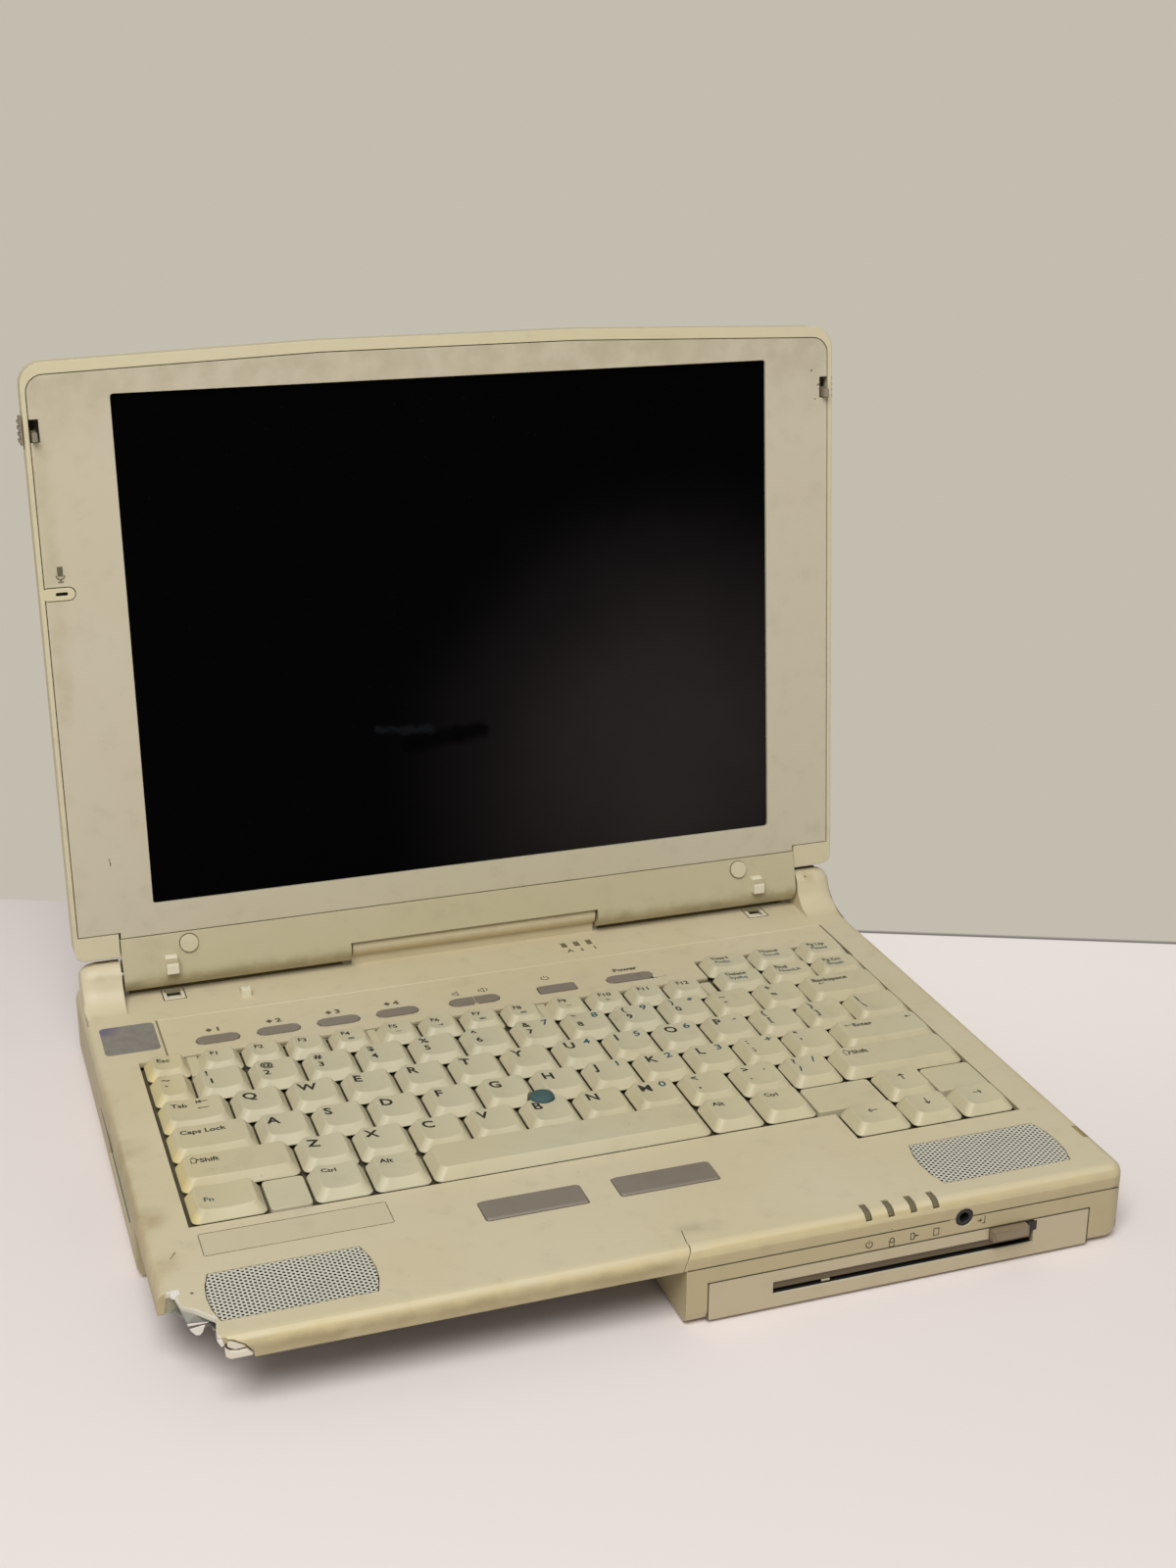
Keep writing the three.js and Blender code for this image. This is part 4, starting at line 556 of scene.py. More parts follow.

# The cream casing; its flank colour paints shade on steep faces below the deck.
CREAM_BASE = Moulding(
    "cream_shell", "cdc0a0", "c7b993", roughness=0.5, worn="d6c9a2", flank="ad9e78", marks=(
        spot(BASE, (-149.0, -8.0, 27.0), 9.0, BROWN, 0.35),
        spot(BASE, (-150.5, -52.0, 26.5), 11.0, BROWN, 0.5),
        spot(BASE, (-148.0, -78.0, 27.0), 8.0, BROWN, 0.35),
        Mark(BASE, (-152.5, 40.0, 25.0), (-152.5, -90.0, 25.0), 5.0, "a98c52", 0.4),
        Mark(BASE, (-150.0, FRONT, 26.5), (150.0, FRONT, 26.5), 4.5, "cdbb86", 0.6),
        # Darker along the front face under the lip: painted shade.
        Mark(BASE, (-136.0, FRONT, 22.4), (-4.0, FRONT, 22.4), 3.4, "97865e", 0.6),
        spot(BASE, (141.5, 101.5, 40.2), 5.5, "a18c5a", 0.55),
        spot(BASE, (141.0, 100.8, 40.4), 0.6, "54472d", 0.9, 0.5),
        spot(BASE, (152.0, -119.5, 6.5), 3.2, "564a30", 0.6),
        spot(BASE, (-146.0, 97.0, 40.0), 5.0, "8d7c52", 0.4),
        *trail(BASE, level(BREAK_LINE, 27.1), 0.55, "e2dccd", 0.85, 0.5),
        *trail(BASE, level(BREAK_LINE, 26.2), 1.05, "cfc8b7", 0.9, 0.5),
        Mark(BASE, (152.0, -110.0, 26.0), (152.0, 90.0, 26.0), 4.5, "bba468", 0.5),
        Mark(BASE, (4.0, -110.0, DECK), (14.0, -111.0, DECK), 5.0, RUB, 0.35),
        *trail(BASE, [(68.6, -120.4, 24.0), (68.8, -121.6, 20.4)], 0.16, CRACK, 0.7, 0.6, 0.05),
        spot(BASE, (-143.0, -96.0, DECK), 0.7, "4b412d", 0.9, 0.5),
        *trail(BASE, [(-146.2, -76.5, DECK), (-144.4, -73.4, DECK)], 0.28, "6b5a39", 0.8, 0.6),
        spot(BASE, (-143.5, 92.0, 38.0), 6.0, "6d6450", 0.35),
    )
)
CREAM_LID = Moulding(
    "cream_lid_shell", "cabf9f", "c8bc96", roughness=0.5, worn="d4c8a0", marks=(
        Mark(LID, (-150.0, 4.0, 224.5), (150.0, 4.0, 224.5), 9.0, "cdbd89", 0.8),
        *(Mark(LID, (x, 4.0, 20.0), (x, 4.0, 220.0), 6.0, "c6b57e", 0.6) for x in (-153.0, 153.0)),
        spot(LID, (-60.0, 12.7, 90.0), 60.0, "bfb083", 0.35),
    )
)
# A darker copy of the lid's cream for the hinge strip: painted shade.
LID_STRIP_SHADED = Moulding(
    "lid_strip_shaded", "bab08f", "b7ab87", roughness=0.5, worn="c6ba94", marks=(
        # Darker still along the barrel's lower front: painted shade.
        Mark(LID, (-136.0, -5.2, -2.0), (136.0, -5.2, -2.0), 5.0, "857850", 0.5),
    )
)
BEZEL = Moulding(
    "screen_surround", "c1b79f", "bfb597", roughness=0.5, specks=0.3, worn="c8be9f", marks=(
        # Darker towards the top of the surround: painted shade where the light falls off.
        Mark(LID, (-150.0, BEZEL_Y, 226.0), (150.0, BEZEL_Y, 226.0), 40.0, "a99e82", 0.6),
        *(spot(LID, (x, BEZEL_Y, z), radius, FLECK, strength, 0.5) for x, z, radius, strength in (
            (144.5, 209.0, 0.55, 0.9), (147.3, 203.5, 0.6, 0.9),
            (148.6, 201.5, 0.5, 0.8), (146.0, 198.0, 0.5, 0.8),
        )),
        *trail(LID, [(-137.4, BEZEL_Y, 46.5), (-137.2, BEZEL_Y, 44.0)], 0.35, "5b5140", 0.9, 0.6),
        Mark(LID, (-148.0, BEZEL_Y, 195.0), (-148.0, BEZEL_Y, 100.0), 5.0, "a89b78", 0.35),
    )
)
KEYCAP = Moulding(
    "key_caps", "c5bb9c", "c5b890", roughness=0.48, grain=0.35, grain_depth=0.012, edge=0.3, specks=0.3,
    worn="dcd2b4"
)
KEYCAP_LEFT = replace(
    KEYCAP, name="edge_key_caps", colour="c5ba99", aged="c7b787", specks=0.45, worn="ded3b0",
    # Pale yellow along the left flanks of the leftmost keys: painted highlight where those faces catch the
    # light, over yellowed plastic.
    marks=(Mark(BASE, (-136.3, -60.0, 28.6), (-136.3, 48.0, 28.6), 3.0, "d2bd7e", 0.75, 0.35),)
)
BUTTON = Moulding(
    "taupe_buttons", "84796c", "7b7062", "4f4638", 0.42, grain=0.4, grain_depth=0.01, specks=0.2
)
EJECT = Moulding("eject_button_taupe", "84745b", "786951", "4f4638", 0.45, specks=0.3)
STICK = Moulding("teal_stick", "405855", "354a47", "1f3636", 0.85, grain_depth=0.12, specks=0.8)
GRILLE = Moulding(
    "speaker_grille", "d0cbba", "c8c2ae", "6b604a", 0.5, edge=0.12, grain=0.3, grain_depth=0.01, specks=0.2
)
FRACTURE = Moulding(
    "fresh_break", "e0dace", "d0c8b8", "9a917e", 0.85, grain=0.7, grain_depth=0.2, edge=0.2, specks=0.3
)
RIB = Moulding(
    "torn_rib", "d8d0bc", "cdc3ab", "8e8470", 0.7, grain=0.7, grain_depth=0.1, edge=0.2, specks=0.3
)
STUB = Moulding("torn_stub", "98937a", "8b866c", "5d573f", 0.7, edge=0.2, specks=0.4)
# Its flank colour paints shade on the drive face's steep faces low down.
DRIVE_FACE = Moulding("drive_face", "c6baa0", "c2b597", roughness=0.5, worn="cfc4a4", flank="b7a98a")
# A paler copy of the cream for the pegs, pocket frames, pocket floors and nub: painted light, so they read as
# lit.
LIT_CREAM = Moulding("painted_lit_cream", "ddd5bb", "d6ccae", roughness=0.45, edge=0.25, specks=0.2)
# A paler cream for the strip along the panel's back edge: painted highlight.
PANEL_EDGE_HIGHLIGHT = Moulding("panel_edge_highlight_paint", "d9cfb0", "cfc39f", roughness=0.5, edge=0.1, specks=0.3)
# Dark olive for the panel's end grooves: painted shade, with dust.
GROOVE_DUST_AND_SHADE = Moulding("groove_dust_and_shade", "7d7153", "8a7e5d", "4f4630", 0.8, edge=0.1, specks=0.6)
COAT = Moulding(
    "conductive_coat", "8a867c", "7b776c", "4c4842", 0.5, 0.25, grain_depth=0.03, marks=(
        Mark(BASE, (-147.0, -104.9, 24.4), (-140.0, -104.9, 23.8), 1.2, "6d685f", 0.5),
    )
)
DARK = Moulding("dark_plastic", "1d1b19", "26231f", "4a443a", 0.5, specks=0.2)
WELL = Moulding("key_well", "564d39", "5f553e", "6f6449", 0.8, specks=0.5)
STEEL = Moulding("bare_steel", "a7a49d", "8f8a80", "5c5446", 0.34, 0.95, grain=0.3, grain_depth=0.006)
BOARD = Moulding("circuit_board", "2f5a3a", "274c32", "1a2f20", 0.45, grain=1.2, grain_depth=0.05)
RUBBER = Moulding("foot_rubber", "3b3733", "45403a", "6a6255", 0.8, grain_depth=0.05)
LENS = Moulding("smoked_lens", "6a6148", "756b50", "3a3425", 0.25, specks=0.4)
SLOT_FLAP = Moulding("slot_flap", "60523b", "534631", "383020", 0.5, specks=0.4)
TAUPE_FLAP = Moulding("dust_flap", "8a7f6b", "7c715d", "4c4436", 0.5, specks=0.4)
ROLLER = Moulding("dull_roller", "b0a78b", "a2987b", "6d675b", 0.5)
# Its grey sheen towards the lower right is a painted reflection.
SCREEN = DeadScreen(
    "dead_screen", (86.0, 0.0, 58.0), 125.0, (
        Mark(LID, (-22.0, -2.0, 77.0), (6.0, -2.0, 80.0), 5.0, "000000", 0.8),
        Mark(LID, (-34.0, -2.0, 84.0), (-14.0, -2.0, 82.0), 2.5, "16181b", 0.6),
    )
)
FOIL = Foil("blank_foil", "948f88", "7d7974", "5b4f86", (-148.0, 79.0, 27.6))
INK = Ink("dark_ink", "2a2822", "454033", 0.4)
TEAL_INK = Ink("teal_ink", "35535b", "5d7273", 0.4)
PRINT = Ink("grey_print", "5d543f", "756b54", 0.4)
SEAM_SHADE = Ink("seam_shade", "4a412e", "5d523b", 0.7)
FILM = ClearFilm("clear_film", FILM_BOX, DECK)


def linked(name: str, data: bpy.types.ID) -> bpy.types.Object:
    """Makes an object of some data and links it to the scene.

    Args:
        name: The object's name.
        data: Its mesh, text, camera or lamp.

    Returns:
        The object.
    """
    thing = bpy.data.objects.new(name, data)
    bpy.context.scene.collection.objects.link(thing)
    return thing


def written(part: Mesh, name: str) -> bpy.types.Mesh:
    """Writes a mesh under construction to mesh data and frees it.

    Args:
        part: The mesh under construction.
        name: The data's name.

    Returns:
        The mesh data.
    """
    data = bpy.data.meshes.new(name)
    part.to_mesh(data)
    part.free()
    return data


def shaded(part: Mesh, name: str, finish: Finish, smooth: float) -> bpy.types.Object:
    """Makes a dressed object whose larger faces decide the shading of the rounds between them.

    Args:
        part: Its mesh, which is freed.
        name: Its name.
        finish: What it is made of.
        smooth: Edges under this angle, in degrees, are shaded smooth.

    Returns:
        The object.
    """
    for face in part.faces:
        face.smooth = True
        face.material_index = 0
    data = written(part, name)
    data.set_sharp_from_angle(angle=math.radians(smooth))
    data.materials.append(dressed(finish))
    piece = linked(name, data)
    weighted = piece.modifiers.new("flat_faces_stay_flat", "WEIGHTED_NORMAL")
    weighted.keep_sharp = True
    weighted.weight = 90
    return piece


def square(half: float = 0.5, steps: int = 1) -> Mesh:
    """A new flat square about the origin.

    Args:
        half: Half its side.
        steps: How many faces it has along a side.

    Returns:
        The mesh.
    """
    part = bmesh.new()
    bmesh.ops.create_grid(part, x_segments=steps, y_segments=steps, size=half)
    return part


def fitted(part: Mesh, box: Box2, low: float = -0.5, high: float = 0.5) -> None:
    """Stretches and moves a unit mesh about the origin to a box.

    Args:
        part: The mesh.
        box: The box's x0, x1, y0 and y1.
        low: Its underside.
        high: Its top.
    """
    x0, x1, y0, y1 = box
    bmesh.ops.scale(part, vec=(x1 - x0, y1 - y0, high - low), verts=part.verts)
    bmesh.ops.translate(part, vec=((x0 + x1) / 2, (y0 + y1) / 2, (low + high) / 2), verts=part.verts)


def rounded(part: Mesh, geom: list, radius: float, segments: int = 2, affect: str = "EDGES") -> None:
    """Rounds edges or corners of a mesh."""
    settings = {"affect": affect, "segments": segments, "profile": 0.5, "material": -1}
    bmesh.ops.bevel(part, geom=geom, offset=radius, **settings)


def outward(part: Mesh) -> None:
    """Turns every face of a mesh outwards."""
    bmesh.ops.recalc_face_normals(part, faces=part.faces)


def thickened(part: Mesh, through: Point) -> None:
    """Gives the faces of a flat mesh a thickness.

    Args:
        part: The mesh.
        through: How far and which way it goes from there.
    """
    made = bmesh.ops.extrude_face_region(part, geom=list(part.faces))["geom"]
    bmesh.ops.translate(part, vec=through, verts=[m for m in made if isinstance(m, Vert)])
    outward(part)


def closed(part: Mesh) -> None:
    """Fills the open rims of a mesh and turns its faces outwards."""
    bmesh.ops.holes_fill(part, edges=[e for e in part.edges if e.is_boundary], sides=0)
    outward(part)


def sliced(part: Mesh, at: Vector, facing: Vector, clear: bool = False) -> None:
    """Cuts a mesh along a plane and, if asked, clears what lies on the side that the plane faces."""
    geom = [*part.verts, *part.edges, *part.faces]
    bmesh.ops.bisect_plane(part, geom=geom, plane_co=at, plane_no=facing, clear_outer=clear)


def carved(part: Mesh, cutter: Mesh) -> Mesh:
    """Cuts one closed mesh out of another.

    Args:
        part: The mesh that is cut.
        cutter: The mesh that is taken away.

    Returns:
        The mesh that is left.
    """
    named = {"carved_part": part, "carved_cutter": cutter}
    held = [linked(name, written(mesh, name)) for name, mesh in named.items()]
    cut = held[0].modifiers.new("cut", "BOOLEAN")
    cut.object = held[1]
    bpy.context.view_layer.update()
    left = bmesh.new()
    left.from_object(held[0], bpy.context.evaluated_depsgraph_get())
    for thing in held:
        bpy.data.meshes.remove(thing.data)
    return left


class Workpiece:
    """A new piece under construction, in millimetres of the half that carries it."""

    SMOOTH = 40.0

    def __init__(self, name: str, carrier: Carrier = BASE) -> None:
        """Starts an empty mesh."""
        self.name = name
        self.carrier = carrier
        self.mesh = bmesh.new()

    def block(self, box: Box2, low: float, high: float, corner: float = 0.0, rim: float = 0.0) -> "Workpiece":
        """Adds an upright block with rounded corners and a rounded upper rim.

        Args:
            box: Its x0, x1, y0 and y1.
            low: Its underside.
            high: Its top.
            corner: The radius of its upright corners.
            rim: The radius of its upper rim.

        Returns:
            This piece.
        """
        part = bmesh.new()
        bmesh.ops.create_cube(part, size=1.0)
        fitted(part, box, low, high)
        if corner:
            rounded(part, [e for e in part.edges if abs(e.verts[0].co.z - e.verts[1].co.z) > TINY], corner, 4)
        if rim:
            rounded(part, [e for e in part.edges if min(v.co.z for v in e.verts) > high - TINY], rim)
        self.take(part)
        return self

    def disc(
        self, at: Point, radius: float, depth: float, sides: int, facing: Point, rim: float = 0.0
    ) -> None:
        """Adds a short round post whose outer end is at a point.

        Args:
            at: The middle of its outer end.
            radius: Its radius.
            depth: How far it goes back from there.
            sides: How many sides it has.
            facing: The direction that its outer end faces.
            rim: The radius of its outer rim.
        """
        part = bmesh.new()
        bmesh.ops.create_circle(part, cap_ends=True, radius=radius, segments=sides)
        bmesh.ops.translate(part, vec=(0.0, 0.0, -depth), verts=part.verts)
        thickened(part, (0.0, 0.0, depth))
        if rim:
            rounded(part, [e for e in part.edges if min(v.co.z for v in e.verts) > -TINY], rim)
        turn = UP.rotation_difference(Vector(facing)).to_matrix().to_4x4()
        self.take(part, Matrix.Translation(at) @ turn)

    def plate(self, points: Sequence[Point], through: Point, rim: float = 0.0) -> "Workpiece":
        """Adds a flat sheet of any outline and gives it a thickness.

        Args:
            points: Its outline, point by point.
            through: How far and which way the sheet goes from there.
            rim: The radius of its edges.

        Returns:
            This piece.
        """
        part = bmesh.new()
        part.faces.new([part.verts.new(point) for point in points])
        thickened(part, through)
        if rim:
            rounded(part, list(part.edges), rim)
        self.take(part)
        return self

    def take(self, part: Mesh, placed: Optional[Matrix] = None) -> list[Vert]:
        """Moves another mesh's contents into this piece.

        Args:
            part: The mesh that is emptied.
            placed: A matrix that is applied to it first.

        Returns:
            The vertices that it brought.
        """
        if placed is not None:
            bmesh.ops.transform(part, matrix=placed, verts=part.verts)
        carried = written(part, "carried")
        known = len(self.mesh.verts)
        self.mesh.from_mesh(carried)
        bpy.data.meshes.remove(carried)
        self.mesh.verts.ensure_lookup_table()
        return list(self.mesh.verts)[known:]

    def finish(
        self, finish: Finish, slot: str, body: str = "base", replaced: Sequence[str] = (),
        smooth: float = SMOOTH
    ) -> None:
        """Places the piece in the model, dresses it and lets it ride on its body.

        Args:
            finish: What it is made of.
            slot: The record's material slot; not used.
            body: The body that it moves with.
            replaced: The solids that it stands for.
            smooth: Edges under this angle, in degrees, are shaded smooth.
        """
        bmesh.ops.transform(self.mesh, matrix=self.carrier.placed, verts=self.mesh.verts)
        piece = shaded(self.mesh, self.name, finish, smooth)
        if replaced:
            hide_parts(*replaced)
        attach(piece, body)
        log.info("%s: %d faces on %s", self.name, len(piece.data.polygons), body)


class Strokes(Workpiece):
    """Printed lines and small solid signs, a hair above the surface that carries them."""

    def line(self, points: Sequence[Point], width: float, facing: Vector = UP) -> None:
        """Draws a chain of straight strokes.

        Args:
            points: The chain's points.
            width: The strokes' width.
            facing: The direction that the surface faces.
        """
        for a, b in zip(points, points[1:]):
            along = Vector(b) - Vector(a)
            side = facing.cross(along).normalized()
            turn = Matrix((along.normalized(), side, facing)).transposed().to_4x4()
            size = Matrix.Diagonal((along.length + 0.6 * width, width, 1.0, 1.0))
            middle = (Vector(a) + Vector(b)) / 2 + facing * HAIR
            self.take(square(), Matrix.Translation(middle) @ turn @ size)

    def sign(self, at: Point, shape: Chains, width: float, facing: Vector = UP) -> None:
        """Draws a small sign from chains of flat points.

        Args:
            at: The sign's middle.
            shape: Its chains, each a list of points to the right of and above the middle.
            width: The strokes' width.
            facing: The direction that the surface faces.
        """
        above = facing.cross(ACROSS)
        for chain in shape:
            self.line([tuple(Vector(at) + ACROSS * u + above * v) for u, v in chain], width, facing)


def ring(radius: float, start: float = 0.0, end: float = 360.0, steps: int = 14) -> list[Flat]:
    """Flat points round a circle, or round an arc between two turns in degrees."""
    turns = [math.radians(start + (end - start) * i / steps) for i in range(steps + 1)]
    return [(radius * math.cos(t), radius * math.sin(t)) for t in turns]


class Sign:
    """Flat shapes of the generic signs printed on the laptop, in millimetres."""

    LEFT = [[(1.3, 0), (-1.3, 0)], [(-0.5, 0.6), (-1.3, 0), (-0.5, -0.6)]]
    RIGHT = [[(-1.3, 0), (1.3, 0)], [(0.5, 0.6), (1.3, 0), (0.5, -0.6)]]
    UP = [[(0, -1.2), (0, 1.2)], [(-0.6, 0.5), (0, 1.2), (0.6, 0.5)]]
    DOWN = [[(0, 1.2), (0, -1.2)], [(-0.6, -0.5), (0, -1.2), (0.6, -0.5)]]
    TAB = [
        [(3.4, 2.2), (-3.0, 2.2)], [(-2.0, 3.0), (-3.0, 2.2), (-2.0, 1.4)], [(-3.4, 3.2), (-3.4, 1.2)],
        [(-3.4, -2.2), (3.0, -2.2)], [(2.0, -1.4), (3.0, -2.2), (2.0, -3.0)], [(3.4, -1.2), (3.4, -3.2)],
    ]
    SHIFT = [[
        (-0.8, -1.4), (0.8, -1.4), (0.8, 0.1), (1.7, 0.1), (0, 1.9), (-1.7, 0.1), (-0.8, 0.1), (-0.8, -1.4),
    ]]
    WINDOW = [[(-1.8, 0.5), (1.8, 0.5), (1.8, -0.5), (-1.8, -0.5), (-1.8, 0.5)], [(-1.2, 0), (1.2, 0)]]
    DIM = [[(-1.6, 0), (1.6, 0)], [(-0.9, 0.5), (-1.6, 0), (-0.9, -0.5)]]
    BRIGHT = [[(-1.6, 0), (1.6, 0)], [(0.9, 0.5), (1.6, 0), (0.9, -0.5)]]
    LAMP = [ring(0.6, 0, 360, 8), [(-1.5, 0), (-0.9, 0)], [(0.9, 0), (1.5, 0)]]
    SUSPEND = [ring(1.1, 125, 415), [(0, 0.3), (0, 1.4)]]
    SPEAKER = [[(-0.9, 0.4), (-0.3, 0.4), (0.5, 1.1), (0.5, -1.1), (-0.3, -0.4), (-0.9, -0.4), (-0.9, 0.4)]]
    WAVE = [ring(1.3, -35, 35, 4)]
    DISK = [
        ring(0.8, 0, 360, 10), [(-0.8, 0), (-0.8, -2.2)], [(0.8, 0), (0.8, -2.2)],
        [(-0.8, -2.2), (0.8, -2.2)],
    ]
    PLUG = [
        [(-1.1, 1.1), (0, 1.1), (0, -1.1), (-1.1, -1.1), (-1.1, 1.1)], [(0, 0.6), (0.9, 0), (0, -0.6)],
        [(0.6, 0), (1.6, 0)],
    ]
    SQUARE = [[(-0.9, 1.2), (0.9, 1.2), (0.9, -1.2), (-0.9, -1.2), (-0.9, 1.2)]]
    NOTE = [
        [(-1.6, 0.2), (-0.3, 0.2)], [(-0.8, 0.7), (-0.3, 0.2), (-0.8, -0.3)], [(0.9, 1.5), (0.9, -0.9)],
        [(0.2, -0.9), (0.9, -0.9)],
    ]
    MICROPHONE = [ring(1.5, 190, 350, 6), [(0, -1.5), (0, -2.4)], [(-0.9, -2.4), (0.9, -2.4)]]


def grown(shape: Chains, times: float) -> Chains:
    """Enlarges a sign."""
    return [[(times * x, times * y) for x, y in line] for line in shape]


@dataclass(frozen=True)
class Word:
    """One printed word and where its lower left corner lies."""

    text: str
    x: float
    y: float
    height: float


class Lettering(Workpiece):
    """Printed words on one body, each made a mesh and laid on the surface below it."""

    CAP_HEIGHT = 0.69

    def write(self, words: Sequence[Word], surface: Surface, weight: float = 0.022) -> None:
        """Adds words.

        Args:
            words: The words and their places.
            surface: Gives the height of the surface at a place.
            weight: How much the letters are thickened, for a height of one.
        """
        texts = []
        for word in words:
            curve = bpy.data.curves.new("word", "FONT")
            curve.body = word.text
            curve.resolution_u = 3
            curve.offset = weight
            texts.append(linked("word", curve))
        bpy.context.view_layer.update()
        depsgraph = bpy.context.evaluated_depsgraph_get()
        for word, text in zip(words, texts):
            data = bpy.data.meshes.new_from_object(text.evaluated_get(depsgraph))
            part = bmesh.new()
            part.from_mesh(data)
            bpy.data.meshes.remove(data)
            scale = Matrix.Scale(word.height / self.CAP_HEIGHT, 4)
            for vert in self.take(part, Matrix.Translation((word.x, word.y, 0.0)) @ scale):
                vert.co.z = surface(vert.co.x, vert.co.y) + HAIR
        for text in texts:
            bpy.data.curves.remove(text.data)


class KeyForm(Enum):
    """How deep a key cap's top is dished, in millimetres."""

    DISHED = 0.8
    LONG = 0.35
    FLAT = 0.0


@dataclass(frozen=True)
class Key:
    """One key: its box on the keyboard, its printing, the body that it is and the shape of its top."""

    box: Box2
    upper: str = ""
    lower: str = ""
    second: str = ""
    node: str = ""
    form: KeyForm = KeyForm.DISHED


@dataclass
class Keyboard:
    """Key caps with dished tops over a dark well, the pointing stick and all that is printed on the keys."""

    left: float = -138.1
    right: float = 138.1
    front: float = -61.0
    row: float = 18.85
    short_row: float = 14.7
    arrow_row: float = 17.0
    units: float = 14.5
    nav_units: float = 11.3
    arrow_units: float = 11.36
    stick_units: float = 6.55
    escape_units: float = 0.87
    function_units: float = 0.82
    function_gaps: tuple[float, ...] = (0.13, 0.1, 0.1)
    space_units: tuple[float, ...] = (1.3, 0.75, 1, 1, 5, 1, 1, 1.4, 1, 1.05)
    blanks: tuple[int, ...] = (1, 7, 9)
    split: float = 0.8
    side_slope: float = 2.6
    front_slope: float = 2.4
    back_slope: float = 1.3
    cap_low: float = 27.3
    cap_base: float = 27.6
    cap_top: float = 31.2
    corner: float = 2.3
    foot_corner: float = 2.5
    left_gap: float = 0.5
    right_gap: float = 0.7
    rim: float = 0.3
    strips: int = 10
    smooth: float = 35.0
    edge_reach: float = 2.0
    well_low: float = 24.4
    well_top: float = 25.2
    side_well_top: float = 25.15
    filler_low: float = 24.6
    filler_top: float = 27.9
    step_top: float = 26.7
    stick_radius: float = 4.3
    stick_gap: float = 0.7

    PAD = dict(zip("UIOPJKLM", "456-1230"))
    TOP_FACING = 0.9

    @property
    def pitch(self) -> float:
        """Width of a plain key with its gap."""
        return (self.right - self.left) / self.units

    @property
    def stick(self) -> Flat:
        """Where the pointing stick stands, at the corner of three keys."""
        return (self.left + self.stick_units * self.pitch, self.front + 2 * self.row)

    @property
    def short_front(self) -> float:
        """Front edge of the row of function keys."""
        return self.front + 5 * self.row

    @property
    def nav_left(self) -> float:
        """Left end of the navigation keys."""
        return self.left + self.nav_units * self.pitch

    @property
    def arrow_left(self) -> float:
        """Left end of the arrow keys."""
        return self.left + self.arrow_units * self.pitch

    def span(self, start: float, widths: Sequence[float], front: float, depth: float) -> list[Box2]:
        """Boxes of a row of keys with those widths, from its left end."""
        ends = list(accumulate(widths, initial=start))
        return [(x0, x1, front, front + depth) for x0, x1 in zip(ends, ends[1:])]

    def unit_row(self, index: int, widths: Sequence[float]) -> list[Box2]:
        """Boxes of a full row whose widths are in key units."""
        return self.span(self.left, [w * self.pitch for w in widths], self.front + index * self.row, self.row)

    def letters(self, boxes: Sequence[Box2], names: str) -> list[Key]:
        """Letter keys, some with a second function of the number pad."""
        return [Key(box, name, second=self.PAD.get(name, "")) for box, name in zip(boxes, names)]

    def keys(self) -> list[Key]:
        """Every key with its printing, row by row from the back."""
        long = KeyForm.LONG
        number = self.unit_row(4, [0.8, *[1] * 12, 1.7])
        upper = self.unit_row(3, [1.3, *[1] * 12, 1.2])
        home = self.unit_row(2, [1.55, *[1] * 11, 1.95])
        lower = self.unit_row(1, [2.05, *[1] * 10, 2.45])
        space = self.unit_row(0, self.space_units)
        keys = [
            *map(Key, number, "~!@#$%^&*()_+", "`1234567890-=", [*[""] * 7, *"789*", "", ""]),
            Key(number[13], "Backspace", node="backspace_key", form=long),
            Key(upper[0], "Tab", node="tab_key"), *self.letters(upper[1:], "QWERTYUIOP"),
            Key(upper[11], "{", "["), Key(upper[12], "}", "]"), Key(upper[13], "|", "\\"),
            Key(home[0], "Caps Lock", node="caps_lock_key", form=long), *self.letters(home[1:], "ASDFGHJKL"),
            Key(home[10], ":", ";", "+"), Key(home[11], "\"", "'"),
            Key(home[12], "Enter", node="enter_key", form=long),
            Key(lower[0], "Shift", node="left_shift_key", form=long), *self.letters(lower[1:], "ZXCVBNM"),
            Key(lower[8], "<", ","), Key(lower[9], ">", ".", "."), Key(lower[10], "?", "/", "/"),
            Key(lower[11], "Shift", node="right_shift_key", form=long),
            Key(space[0], second="Fn"), Key(space[2], "Ctrl"), Key(space[3], "Alt"),
            Key(space[4], node="space_bar", form=KeyForm.FLAT),
            Key(space[5], "Alt"), Key(space[6], "Ctrl"), Key(space[8], "UP"),
            *self.short_keys(), *self.arrow_keys(space[8]),
        ]
        return [self.eased(key) for key in keys]

    def eased(self, key: Key) -> Key:
        """Draws the end of a row in from the wall of the well.

        Args:
            key: Any key.

        Returns:
            The key, narrower if it stands at an end.
        """
        x0, x1, y0, y1 = key.box
        x0 += self.left_gap if x0 < self.left + 0.1 else 0.0
        x1 -= self.right_gap if x1 > self.right - 0.1 else 0.0
        return replace(key, box=(x0, x1, y0, y1))

    def function_row(self) -> list[tuple[Box2, str]]:
        """Boxes of the escape and function keys, and with no name those of the gaps between their groups."""
        widths = [self.escape_units]
        names = ["Esc"]
        for group, gap in enumerate(self.function_gaps):
            widths += [gap, *[self.function_units] * 4]
            names += ["", *[f"F{4 * group + i}" for i in range(1, 5)]]
        boxes = self.span(self.left, [w * self.pitch for w in widths], self.short_front, self.short_row)
        return list(zip(boxes, names))

